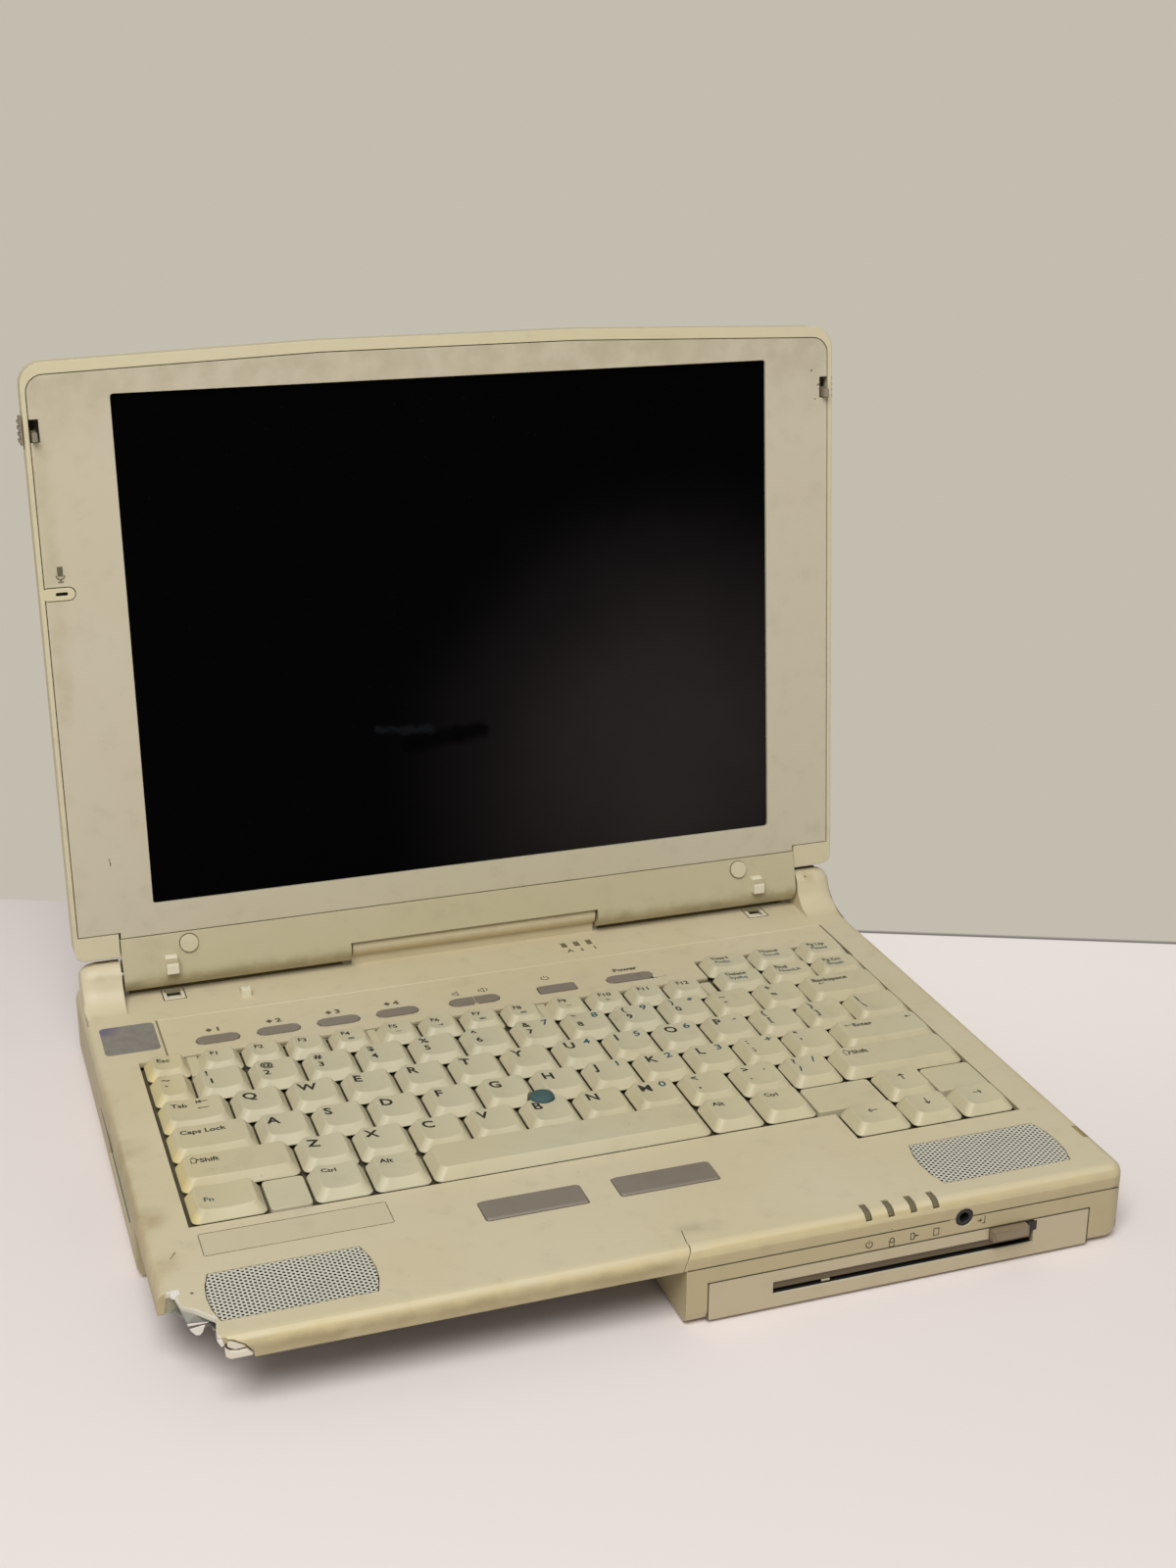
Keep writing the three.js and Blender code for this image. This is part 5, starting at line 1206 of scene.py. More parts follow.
    def short_keys(self) -> list[Key]:
        """The shallow keys: escape, function keys and the two navigation rows."""
        keys = [Key(box, name) for box, name in self.function_row() if name]
        third = (self.right - self.nav_left) / 3
        for index, names, seconds in (
            (0, ("Delete", "End", "Pg Dn"), ("SysRq", "NumLk", "Break")),
            (1, ("Insert", "Home", "Pg Up"), ("PrtSc", "Scroll", "Pause")),
        ):
            front = self.short_front + index * self.short_row
            boxes = self.span(self.nav_left, [third] * 3, front, self.short_row)
            keys += [Key(box, name, second=second) for box, name, second in zip(boxes, names, seconds)]
        return keys

    def arrow_keys(self, above: Box2) -> list[Key]:
        """The three arrow keys in front of the space row.

        Args:
            above: The box of the key that the middle one is set under.

        Returns:
            The keys.
        """
        widths = (above[0] - self.arrow_left, self.pitch, self.right - above[1])
        boxes = self.span(self.arrow_left, widths, self.front - self.arrow_row, self.arrow_row)
        return [Key(box, name) for box, name in zip(boxes, ("LEFT", "DOWN", "RIGHT"))]

    def top(self, key: Key) -> Box2:
        """Gives the flat box of a key's top face.

        Args:
            key: The key.

        Returns:
            The top's x0, x1, y0 and y1.
        """
        x0, x1, y0, y1 = key.box
        half = self.split / 2
        x0, x1 = x0 + half + self.side_slope, x1 - half - self.side_slope
        return (x0, x1, y0 + half + self.front_slope, y1 - half - self.back_slope)

    def height(self, key: Key, x: float) -> float:
        """Gives the height of a key's dished top at a place across it."""
        x0, x1, _, _ = self.top(key)
        return self.cap_top - key.form.value * (1 - min(1.0, ((2 * x - x0 - x1) / (x1 - x0)) ** 2))

    def cap(self, key: Key) -> Mesh:
        """Shapes one key cap: a dished top with rounded corners, sloped sides and a short upright skirt.

        Args:
            key: The key.

        Returns:
            A closed mesh.
        """
        part = square()
        fitted(part, self.top(key))
        rounded(part, list(part.verts), self.corner, 4, "VERTICES")
        x0, x1, _, _ = self.top(key)
        for i in range(1, self.strips):
            sliced(part, Vector((x0 + (x1 - x0) * i / self.strips, 0.0, 0.0)), ACROSS)
        for vert in part.verts:
            vert.co.z = self.height(key, vert.co.x)
        self.drop(part, self.cap_base, key)
        self.drop(part, self.cap_low)
        closed(part)
        rounded(part, [e for e in part.edges if self.is_crest(e, key)], self.rim)
        outward(part)
        return part

    def drop(self, part: Mesh, low: float, key: Optional[Key] = None) -> None:
        """Extrudes a cap's open rim downwards, out to the key's full box where the key is given.

        Args:
            part: The key cap's mesh.
            low: The height that it goes down to.
            key: The key whose box the lower rim reaches.
        """
        made = bmesh.ops.extrude_edge_only(part, edges=[e for e in part.edges if e.is_boundary])["geom"]
        for vert in [m for m in made if isinstance(m, Vert)]:
            vert.co.z = low
            if key is not None:
                x0, x1, y0, y1 = self.top(key)
                vert.co.x = self.spread(vert.co.x, x0, x1, key.box[0], key.box[1])
                vert.co.y = self.spread(vert.co.y, y0, y1, key.box[2], key.box[3])

    def spread(self, at: float, top_low: float, top_high: float, low: float, high: float) -> float:
        """Carries one coordinate of the top's rim out to the foot's rim, whose corners are wider.

        Args:
            at: The coordinate on the top's rim.
            top_low: Where the top starts.
            top_high: Where the top ends.
            low: Where the key's box starts.
            high: Where the key's box ends.

        Returns:
            The coordinate on the foot's rim.
        """
        held = min(max(at, top_low + self.corner), top_high - self.corner)
        share = (held - top_low - self.corner) / (top_high - top_low - 2 * self.corner)
        inset = self.split / 2 + self.foot_corner
        return low + inset + share * (high - low - 2 * inset) + (at - held) / self.corner * self.foot_corner

    def is_crest(self, edge: bmesh.types.BMEdge, key: Key) -> bool:
        """Tells whether an edge lies between a key's top and its sloped sides.

        Args:
            edge: Any edge of the cap.
            key: The key.

        Returns:
            True on the crest.
        """
        facing = [abs(face.normal.z) for face in edge.link_faces]
        if len(facing) != 2 or min(v.co.z for v in edge.verts) < self.cap_top - key.form.value - 0.01:
            return False
        return min(facing) < self.TOP_FACING < max(facing)

    def build(self) -> None:
        """Makes the caps, the well, the fillers, the stick and the printing."""
        caps = Workpiece("key_caps")
        edge_caps = Workpiece("left_edge_key_caps")
        for key in self.keys():
            part = self.cap(key)
            if self.touches_stick(key):
                part = carved(part, self.stick_hole())
            at_edge = key.box[0] < self.left + self.edge_reach
            if key.node:
                single = Workpiece(key.node + "_cap")
                single.take(part)
                finish = KEYCAP_LEFT if at_edge else KEYCAP
                single.finish(finish, "keycap", key.node, (key.node,), self.smooth)
            else:
                (edge_caps if at_edge else caps).take(part)
        caps.finish(KEYCAP, "keycap", "base", ("keyboard",), self.smooth)
        edge_caps.finish(KEYCAP_LEFT, "keycap", smooth=self.smooth)
        self.build_well()
        self.build_stick()
        KeyPrinting(self).build()

    def touches_stick(self, key: Key) -> bool:
        """Whether a key gives way to the pointing stick."""
        (x, y), (x0, x1, y0, y1) = self.stick, key.box
        return x0 - 0.1 < x < x1 + 0.1 and y0 - 0.1 < y < y1 + 0.1

    def stick_hole(self) -> Mesh:
        """A round cutter where the pointing stick stands."""
        hole = bmesh.new()
        radius = self.stick_radius + self.stick_gap
        bmesh.ops.create_cone(hole, cap_ends=True, segments=24, radius1=radius, radius2=radius, depth=20.0)
        bmesh.ops.translate(hole, vec=(*self.stick, 30.0), verts=hole.verts)
        return hole

    def build_well(self) -> None:
        """Makes the dark floor under the keys and the blank tiles that fill gaps between them."""
        well = Workpiece("key_well")
        back = self.short_front + self.short_row
        well.block((self.left, self.right, self.front, back), self.well_low, self.well_top, rim=0.2)
        for side in (
            (self.nav_left, self.right, back - 1, back + self.short_row),
            (self.arrow_left, self.right, self.front - self.arrow_row, self.front + 1),
        ):
            well.block(side, self.well_low, self.side_well_top, rim=0.2)
        well.finish(WELL, "dark_plastic")
        tiles = Workpiece("blank_tiles")
        space = self.unit_row(0, self.space_units)
        for index in self.blanks:
            x0, x1, y0, y1 = space[index]
            front = y0 + (self.split if index == 1 else self.split + 1)
            tiles.block((x0 + 0.5, x1 - 0.5, front, y1 - 0.5), self.filler_low, self.filler_top, 1.6, 0.4)
        step = (self.nav_left - 4.4, self.nav_left - 0.4, self.short_front + 0.5, back - 0.5)
        tiles.block(step, self.filler_low, self.step_top, 0.8, 0.4)
        for (x0, x1, y0, y1), name in self.function_row():
            if not name:
                gap = (x0 - 0.6, x1 + 0.6, y0 + 0.4, y1 - 0.4)
                tiles.block(gap, self.filler_low, self.filler_top, 0.3, 0.2)
        tiles.finish(KEYCAP, "keycap")

    def build_stick(self) -> None:
        """Makes the pointing stick: a post with a rough domed cap."""
        radius = self.stick_radius
        profile = (
            (1.6, 24.0), (1.6, 28.2), (radius - 0.4, 28.4), (radius, 29.0), (radius, 30.2),
            (radius - 0.35, 30.9), (radius - 1.2, 31.45), (radius - 2.4, 31.72), (0.0, 31.8),
        )
        part = bmesh.new()
        verts = [part.verts.new(point) for point in upright(profile, 0.0)]
        edges = [part.edges.new(pair) for pair in zip(verts, verts[1:])]
        bmesh.ops.spin(
            part, geom=verts + edges, cent=(0, 0, 0), axis=UP, angle=math.tau, steps=28, use_merge=True
        )
        bmesh.ops.remove_doubles(part, verts=part.verts, dist=1e-4)
        closed(part)
        bmesh.ops.translate(part, vec=(*self.stick, 0.0), verts=part.verts)
        stick = Workpiece("stick_cap")
        stick.take(part)
        stick.finish(STICK, "stick", "base", ("pointing_stick",), 50.0)


@dataclass
class KeyPrinting:
    """Everything printed on the keys: dark letters, teal second functions and arrows."""

    board: Keyboard
    letter: float = 4.2
    pair: float = 3.2
    name: float = 2.4
    second: float = 3.4
    inset: float = 1.5
    letter_weight: float = 0.028
    name_weight: float = 0.026
    pen: float = 0.34
    fine_pen: float = 0.3
    arrow_pen: float = 0.46
    arrow_growth: float = 1.5

    ARROWS = {"UP": Sign.UP, "DOWN": Sign.DOWN, "LEFT": Sign.LEFT, "RIGHT": Sign.RIGHT}
    SMALL = {
        "F4": Sign.WINDOW, "F5": Sign.DIM, "F6": Sign.BRIGHT, "F7": Sign.WINDOW, "F8": Sign.WINDOW,
        "F9": Sign.DIM, "F10": Sign.LAMP,
    }

    def build(self) -> None:
        """Prints every key; a key that moves alone carries its own print."""
        dark = Lettering("key_letters")
        teal = Lettering("key_second_letters")
        arrows = Strokes("key_arrows")
        marks = Strokes("key_small_signs")
        for key in self.board.keys():
            surface = self.surface(key)
            x0, x1, y0, y1 = self.board.top(key)
            if key.node:
                self.print_alone(key, surface)
                continue
            if key.upper in self.ARROWS:
                at = ((x0 + x1) / 2, (y0 + y1) / 2 + 1.5, surface((x0 + x1) / 2, 0.0))
                arrows.sign(at, grown(self.ARROWS[key.upper], self.arrow_growth), self.arrow_pen)
                continue
            weight = self.name_weight if len(key.upper) > 1 else self.letter_weight
            dark.write(self.words(key), surface, weight)
            teal.write(self.second_words(key), surface)
            if key.upper in self.SMALL:
                x, y = x0 + self.inset + 2.2, y0 + 2.6
                marks.sign((x, y, surface(x, y)), self.SMALL[key.upper], self.fine_pen)
        dark.finish(INK, "legend")
        teal.finish(TEAL_INK, "legend")
        arrows.finish(INK, "legend")
        marks.finish(TEAL_INK, "legend")

    def surface(self, key: Key) -> Surface:
        """Gives the height of a key's top by place."""
        return lambda x, _y: self.board.height(key, x)

    def words(self, key: Key) -> list[Word]:
        """Lays out the dark words of a key.

        Args:
            key: The key.

        Returns:
            None, one or two words.
        """
        x0, _, _, y1 = self.board.top(key)
        left, back = x0 + self.inset, y1 - self.inset
        if not key.upper:
            return []
        if len(key.upper) > 1:
            height = self.name if len(key.upper) < 4 else 0.88 * self.name
            drop = 0.0 if key.second else 0.8
            return [Word(key.upper, left, back - height - drop, height)]
        if key.lower:
            return [
                Word(key.upper, left - 0.3, back - self.pair - 0.3, self.pair),
                Word(key.lower, left + 0.1, back - 2.8 * self.pair, self.pair),
            ]
        return [Word(key.upper, left - 0.5, back - self.letter - 0.9, self.letter)]

    def second_words(self, key: Key) -> list[Word]:
        """Lays out the teal words of a key.

        Args:
            key: The key.

        Returns:
            None or one word.
        """
        x0, x1, y0, y1 = self.board.top(key)
        left, back = x0 + self.inset, y1 - self.inset
        if not key.second:
            return []
        if key.second == "Fn":
            return [Word("Fn", x0 + 2.2, y0 + 4.6, self.name)]
        if len(key.second) > 1:
            return [Word(key.second, left + 0.5, back - 2.25 * self.name, 0.85 * self.name)]
        return [Word(key.second, x1 - 4.4, back - self.second - 0.2, self.second)]

    def print_alone(self, key: Key, surface: Surface) -> None:
        """Prints a key that moves by itself.

        Args:
            key: The key.
            surface: Gives the height of its top.
        """
        if not key.upper:
            return
        x0, x1, _, y1 = self.board.top(key)
        left, back = x0 + self.inset, y1 - self.inset
        shift = 3.4 if key.upper in ("Shift", "Enter") else 0.0
        words = Lettering(key.node + "_letters")
        word = Word(key.upper, left + shift, back - self.name - 1.4, self.name)
        words.write([word], surface, self.name_weight)
        words.finish(INK, "legend", key.node)
        at = (left + 1.5, back - 2.4)
        shapes = {
            "Shift": [(at, Sign.SHIFT)],
            "Enter": [(at, Sign.LEFT), ((x1 - self.inset - 1.5, at[1]), Sign.LEFT)],
            "Tab": [((x1 - 4.8, y1 - 5.0), Sign.TAB)],
            "Backspace": [((at[0] + 1.2, at[1] - 3.0), Sign.LEFT)],
        }
        if key.upper in shapes:
            signs = Strokes(key.node + "_signs")
            for (x, y), shape in shapes[key.upper]:
                signs.sign((x, y, surface(x, y)), shape, self.pen)
            signs.finish(INK, "legend", key.node)


@dataclass
class SpeakerGrille:
    """A perforated sheet with bulging short sides, over dark felt."""

    side: int
    middle: Flat = (114.5, -99.8)
    width: float = 45.0
    depth: float = 24.2
    bulge: float = 2.2
    top: float = 27.4
    thickness: float = 0.2
    columns: int = 39
    rows: int = 14
    hole: float = 0.55
    outline_steps: int = 6
    felt_inset: float = 0.6
    felt_drop: Flat = (1.4, 1.1)

    @property
    def name(self) -> str:
        """The solid that this grille stands for."""
        return "speaker_grille_left" if self.side < 0 else "speaker_grille_right"

    def outline(self) -> list[Vector]:
        """Points round the grille, anticlockwise."""
        x, y = self.side * self.middle[0], self.middle[1]
        steps = [i / self.outline_steps for i in range(self.outline_steps + 1)]
        half, deep = self.width / 2, self.depth / 2
        right = [(half + 4 * self.bulge * t * (1 - t), -deep + self.depth * t) for t in steps]
        return [Vector((x + u, y + v, 0.0)) for u, v in right + [(-u, -v) for u, v in right]]

    def cell(self, width: float, depth: float) -> Mesh:
        """Makes one brick of the sheet with an eight-sided hole in it.

        Args:
            width: The brick's width.
            depth: The brick's depth.

        Returns:
            The mesh.
        """
        part = square(steps=2)
        bmesh.ops.scale(part, vec=(width, depth, 1.0), verts=part.verts)
        inner = bmesh.ops.inset_region(
            part, faces=list(part.faces), thickness=0.2, use_boundary=True, use_even_offset=False
        )
        core = [f for f in part.faces if f not in inner["faces"]]
        for vert in {v for f in core for v in f.verts}:
            if vert.co.length > TINY:
                vert.co = vert.co.normalized() * self.hole
        bmesh.ops.delete(part, geom=core, context="FACES")
        return part

    def build(self) -> None:
        """Makes the sheet and its felt."""
        x, y = self.side * self.middle[0], self.middle[1]
        pitch_x = (self.width + 2 * self.bulge) / self.columns
        pitch_y = self.depth / self.rows
        sheet = Workpiece(self.name + "_sheet")
        for column in range(-1, self.columns + 1):
            shift = 0.5 * (column % 2)
            for row in range(-1, self.rows + 1):
                u = (column - self.columns / 2 + 0.5) * pitch_x
                v = (row + shift - self.rows / 2 + 0.5) * pitch_y
                sheet.take(self.cell(pitch_x, pitch_y), Matrix.Translation((x + u, y + v, 0.0)))
        mesh = sheet.mesh
        bmesh.ops.remove_doubles(mesh, verts=mesh.verts, dist=0.01)
        points = self.outline()
        for a, b in zip(points, points[1:] + points[:1]):
            if (b - a).length > TINY:
                sliced(mesh, a, (b - a).cross(UP), clear=True)
        outward(mesh)
        bmesh.ops.translate(mesh, vec=(0, 0, self.top - self.thickness), verts=mesh.verts)
        thickened(mesh, (0, 0, self.thickness))
        sheet.finish(GRILLE, "grille", replaced=(self.name,))
        half, deep = self.width / 2, self.depth / 2
        box = (x - half, x + half, y - deep + self.felt_inset, y + deep - self.felt_inset)
        low, high = (self.top - drop for drop in self.felt_drop)
        Workpiece(self.name + "_felt").block(box, low, high, 2.0, 0.1).finish(DARK, "dark_plastic")


@dataclass
class DeckPrinting:
    """Signs and words printed on the switch panel, behind it and on the front face."""

    quick_x: tuple[float, ...] = (-109.0, -86.9, -64.9, -42.8)
    sign_y: float = 66.3
    volume_x: Flat = (-18.3, -8.2)
    suspend_x: float = 19.3
    power_x: float = 49.5
    lock_x: tuple[float, ...] = (34.1, 39.3, 44.5)
    lock_y: float = 89.6
    front_x: tuple[float, ...] = (61.2, 69.0, 76.7, 84.4)
    front_z: float = 16.9
    jack_at: Point = (100.6, FRONT, 17.6)
    drive: Box2 = (7.6, 139.8, 1.4, 14.4)
    seams: Outline = ((0.8, 88.9), (96.3, 150.0))
    seam_z: float = 20.05
    seam_width: float = 0.42
    pen: float = 0.36
    front_pen: float = 0.33
    lock_pen: float = 0.4
    weight: float = 0.045
    growth: float = 1.45

    DIAMOND = ((-1.3, 0.0), (0.0, -1.5), (1.3, 0.0), (0.0, 1.5))

    def build(self) -> None:
        """Prints the signs and words."""
        signs = Strokes("deck_signs")
        words = Lettering("deck_words")
        panel_words = []
        for number, x in enumerate(self.quick_x, start=1):
            signs.plate([(x - 2.1 + u, self.sign_y + v, PANEL) for u, v in self.DIAMOND], (0.0, 0.0, 0.03))
            panel_words.append(Word(str(number), x + 0.2, self.sign_y - 1.4, 2.9))
        panel_words.append(Word("Power", self.power_x - 5.2, self.sign_y - 1.3, 2.5))
        down, up = self.volume_x
        for x, y, shape, growth in (
            (down, self.sign_y, Sign.SPEAKER, self.growth),
            (up, self.sign_y, Sign.SPEAKER, self.growth),
            (up + 0.2, self.sign_y, Sign.WAVE, self.growth),
            (self.suspend_x - 1.8, self.sign_y + 2.2, Sign.SUSPEND, 1.3),
        ):
            signs.sign((x, y, PANEL), grown(shape, growth), self.pen)
        words.write(panel_words, lambda _x, _y: PANEL, self.weight)
        capital, scroll, number = self.lock_x
        locks = (("A", capital - 0.4), ("1", number - 0.2))
        words.write([Word(text, x, self.lock_y - 1.6, 2.6) for text, x in locks], lambda _x, _y: DECK)
        signs.sign((scroll + 0.5, self.lock_y - 0.4, DECK), Sign.DOWN, self.lock_pen)
        self.print_front(signs)
        words.finish(PRINT, "legend")
        signs.finish(PRINT, "legend")

    def print_front(self, signs: Strokes) -> None:
        """Prints the signs under the status lights and beside the jack, and draws the seams of the front.

        Args:
            signs: The piece that takes the signs.
        """
        for x, shape in zip(self.front_x, (Sign.SUSPEND, Sign.DISK, Sign.PLUG, Sign.SQUARE)):
            signs.sign((x, FRONT, self.front_z), shape, self.front_pen, FORWARD)
        signs.sign(self.jack_at, Sign.NOTE, self.pen, FORWARD)
        x0, x1, z0, z1 = self.drive
        chains = [((x0, z0), (x0, z1), (x1, z1), (x1, z0))]
        chains += [((start, self.seam_z), (end, self.seam_z)) for start, end in self.seams]
        seams = Strokes("front_seams")
        for chain in chains:
            seams.line(upright(chain, FRONT), self.seam_width, FORWARD)
        seams.finish(SEAM_SHADE, "dark_plastic")


@dataclass
class StuckOn:
    """What is stuck to the deck: a blank foil square and a bare strip of clear film."""

    foil: Box2 = (-148.7, -129.3, 57.8, 79.5)
    foil_height: float = 0.14
    film: Box2 = FILM_BOX
    film_heights: Flat = (0.03, 0.08)

    def build(self) -> None:
        """Makes both."""
        foil = Workpiece("foil_square")
        foil.block(self.foil, DECK, DECK + self.foil_height, 1.8, 0.05).finish(FOIL, "foil")
        low, high = self.film_heights
        Workpiece("clear_film").block(self.film, DECK + low, DECK + high, 0.8).finish(FILM, "lens")


@dataclass
class DisketteMouth:
    """Inside of the diskette slot: dust flap, dull roller, a dark floor of painted shade, and a dark plate
    beside the eject button for the black works and the painted shade of their recess.
    """

    slot: Flat = (29.3, 119.5)
    front: float = -120.6
    flap_z: Flat = (7.3, 10.15)
    roller_x: Flat = (45.8, 48.6)
    roller_z: Flat = (6.5, 7.1)
    floor_z: Flat = (5.7, 6.02)
    works: Box2 = (116.9, 120.6, -121.62, -121.0)
    works_z: Flat = (10.4, 13.7)

    def build(self) -> None:
        """Makes the four pieces."""
        flap = (*self.slot, self.front, self.front + 0.9)
        Workpiece("dust_flap").block(flap, *self.flap_z, rim=0.25).finish(SLOT_FLAP, "dark_plastic")
        roller = (*self.roller_x, self.front - 0.2, self.front + 0.6)
        Workpiece("pale_roller").block(roller, *self.roller_z, rim=0.2).finish(ROLLER, "steel")
        # A dark floor inside the slot: painted shade.
        floor = (*self.slot, self.front - 0.3, self.front + 8.0)
        Workpiece("slot_floor_shade").block(floor, *self.floor_z, rim=0.05).finish(DARK, "dark_plastic")
        # A dark plate on the face beside the eject button: painted shade of the recess, over the black works.
        Workpiece("eject_works_and_recess_shade").block(self.works, *self.works_z).finish(DARK, "dark_plastic")


@dataclass
class BrokenCorner:
    """What the lost front left corner leaves bare: the torn stub, chips, liner, and ribs behind the lip, and
    dark sheets of painted shade in the sprung seam and in the hollow behind the ribs.
    """

    stub: Box2 = (-151.2, -146.1, -93.1, -88.5)
    stub_z: Flat = (20.5, 25.6)
    lip: float = -120.9
    fold: float = -105.3
    wall: float = -154.6
    shelf: float = 26.1
    sprung: Outline = (
        (25.0, 25.6), (0.0, 25.2), (-25.0, 24.6), (-48.0, 24.4), (-49.0, 25.6), (-25.0, 26.2), (0.0, 26.2),
        (25.0, 25.9),
    )
    crown: Outline = (
        (-149.3, -93.5), (-148.1, -92.7), (-146.4, -93.0), (-146.2, -95.2), (-147.5, -96.1), (-149.0, -95.1),
    )
    horn: Outline = ((-140.0, 27.2), (-138.4, 27.0), (-138.0, 25.4), (-138.9, 24.8))
    hem: Outline = ((-146.1, 24.0), (-140.0, 23.5), (-140.0, 22.9), (-145.9, 22.9))
    tab: Outline = (
        (-145.5, 22.0), (-141.0, 22.6), (-141.8, 20.4), (-142.7, 19.5), (-143.8, 19.7), (-144.9, 21.0),
    )
    liner_top: Outline = ((-147.4, -100.9), (-143.2, -103.9), (-137.9, -107.0))
    liner_foot: Outline = ((-146.1, 23.9), (-140.0, 23.4), (-137.4, 22.4))
    upper_rib: Outline = (
        (-137.2, 24.3), (-136.7, 25.9), (-133.0, 24.3), (-131.7, 23.1), (-134.9, 22.9), (-136.4, 23.6),
    )
    lower_rib: Outline = (
        (-138.0, 24.3), (-136.6, 22.9), (-134.0, 22.4), (-131.6, 22.6), (-130.0, 20.9), (-130.4, 20.3),
        (-136.5, 20.3), (-137.8, 21.3),
    )
    hollow: Outline = ((-137.6, 26.0), (-129.6, 25.4), (-129.2, 20.5), (-137.4, 20.5))

    def build(self) -> None:
        """Makes the pieces."""
        Workpiece("torn_stub").block(self.stub, *self.stub_z, rim=0.3).finish(STUB, "fracture")
        # A dark sheet on the left wall: painted shade in the gap where the seam has sprung open.
        seam = [(self.wall, y, z) for y, z in self.sprung]
        Workpiece("sprung_seam_shade").plate(seam, (0.12, 0.0, 0.0)).finish(DARK, "dark_plastic")
        chips = Workpiece("torn_chips")
        chips.plate(level(self.crown, self.shelf), (0.1, 0.0, 1.5), 0.25)
        for outline, y, thickness, rim in (
            (self.horn, self.lip, 1.2, 0.2),
            (self.hem, self.fold, 0.5, 0.12),
            (self.tab, self.fold - 0.3, 0.4, 0.1),
        ):
            chips.plate(upright(outline, y), (0.0, thickness, 0.0), rim)
        chips.finish(FRACTURE, "fracture")
        self.build_liner()
        ribs = Workpiece("bared_ribs")
        ribs.plate(upright(self.upper_rib, self.lip + 0.5), (0.0, 1.4, 0.0), 0.25)
        ribs.plate(upright(self.lower_rib, self.lip), (0.0, 1.2, 0.0), 0.3)
        ribs.finish(RIB, "fracture")
        # A dark sheet behind the ribs: painted shade of the hollow inside the lip.
        back = upright(self.hollow, self.lip + 2.6)
        Workpiece("lip_hollow_shade").plate(back, (0.0, 0.4, 0.0)).finish(WELL, "dark_plastic")

    def build_liner(self) -> None:
        """Makes the liner's torn ramp, from under the palm rest down to its fold."""
        ramp = Workpiece("torn_liner")
        left, middle, right = level(self.liner_top, self.shelf)
        ends = upright(self.liner_foot, self.fold)
        for face in (
            (left, middle, ends[0]), (middle, ends[1], ends[0]),
            (middle, right, ends[1]), (right, ends[2], ends[1]),
        ):
            ramp.plate(face, (0.0, 0.35, -0.35))
        ramp.finish(COAT, "liner")


@dataclass
class HingeTrim:
    """Small mouldings round the hinge: the lid's pegs, their pockets, a nub, and dark pieces of painted shade
    at the back of the pockets and behind the right cap's crest.
    """

    peg_x: float = 118.5
    peg_width: float = 4.6
    hook: Outline = (
        (-4.6, 1.1), (-9.4, 1.1), (-9.5, 4.6), (-9.1, 5.8), (-8.2, 6.6), (-6.9, 7.1), (-4.6, 7.4),
    )
    pocket: Box2 = (-3.9, 3.9, 95.8, 101.9)
    frame_bar: float = 1.3
    rim_gap: float = 0.2
    rim_reach: float = 2.8
    floor_half: float = 3.0
    floor_drop: Flat = (1.9, 1.6)
    nub: Box2 = (-94.8, -91.0, 89.2, 92.6)
    shade_x: float = 137.6
    shade_width: float = 9.6
    shade_radii: Flat = (6.7, 5.9)
    shade_turns: tuple[int, int, int] = (32, 87, 6)

    def build(self) -> None:
        """Makes the pieces."""
        pegs = Workpiece("lid_pegs", LID)
        frames = Workpiece("peg_frames")
        outlines = Strokes("peg_outlines")
        floors = Workpiece("peg_floors")
        shade = Workpiece("peg_shade")
        x0, x1, y0, y1 = self.pocket
        bar, gap, half = self.frame_bar, self.rim_gap, self.floor_half
        inner = ((x1 - bar, y1), (x1 - bar, y0 + bar), (x0 + bar, y0 + bar), (x0 + bar, y1))
        yoke = ((x0, y1), (x0, y0), (x1, y0), (x1, y1), *inner)
        back = y1 + self.rim_reach
        rim = ((x0 - gap, back), (x0 - gap, y0 - gap), (x1 + gap, y0 - gap), (x1 + gap, back))
        low, high = (DECK - drop for drop in self.floor_drop)
        for middle in (-self.peg_x, self.peg_x):
            hook = [(middle - self.peg_width / 2, y, z) for y, z in self.hook]
            pegs.plate(hook, (self.peg_width, 0.0, 0.0), 0.25)
            frames.plate([(middle + x, y, DECK - 0.6) for x, y in yoke], (0.0, 0.0, 0.75), 0.12)
            outlines.line([(middle + x, y, DECK) for x, y in rim], 0.45)
            floors.block((middle - half, middle + half, y0 + 0.9, y1 + 0.4), low, high)
            # Dark block behind each pocket: painted shade of the hole under the barrel.
            shade.block((middle - half, middle + half, y1 + 0.5, y1 + 2.6), low, high)
        pegs.finish(LIT_CREAM, "bezel", "lid")
        frames.finish(LIT_CREAM, "shell")
        outlines.finish(SEAM_SHADE, "dark_plastic")
        floors.finish(LIT_CREAM, "shell")
        shade.finish(DARK, "dark_plastic")
        Workpiece("deck_nub").block(self.nub, DECK - 0.5, DECK + 3.2, 0.5, 0.6).finish(LIT_CREAM, "shell")
        self.shade_cap()

    def shade_cap(self) -> None:
        """Makes a dark strip behind the crest of the right hinge cap, under the lid's foot: painted shade
        where the foot meets the cap.
        """
        turns = [math.radians(turn) for turn in range(*self.shade_turns)]
        outer, inner = self.shade_radii
        arc = [(outer, t) for t in turns] + [(inner, t) for t in reversed(turns)]
        points = [(self.shade_x, HINGE_Y + r * math.cos(t), HINGE_Z + r * math.sin(t)) for r, t in arc]
        Workpiece("cap_shade").plate(points, (self.shade_width, 0.0, 0.0)).finish(DARK, "dark_plastic")


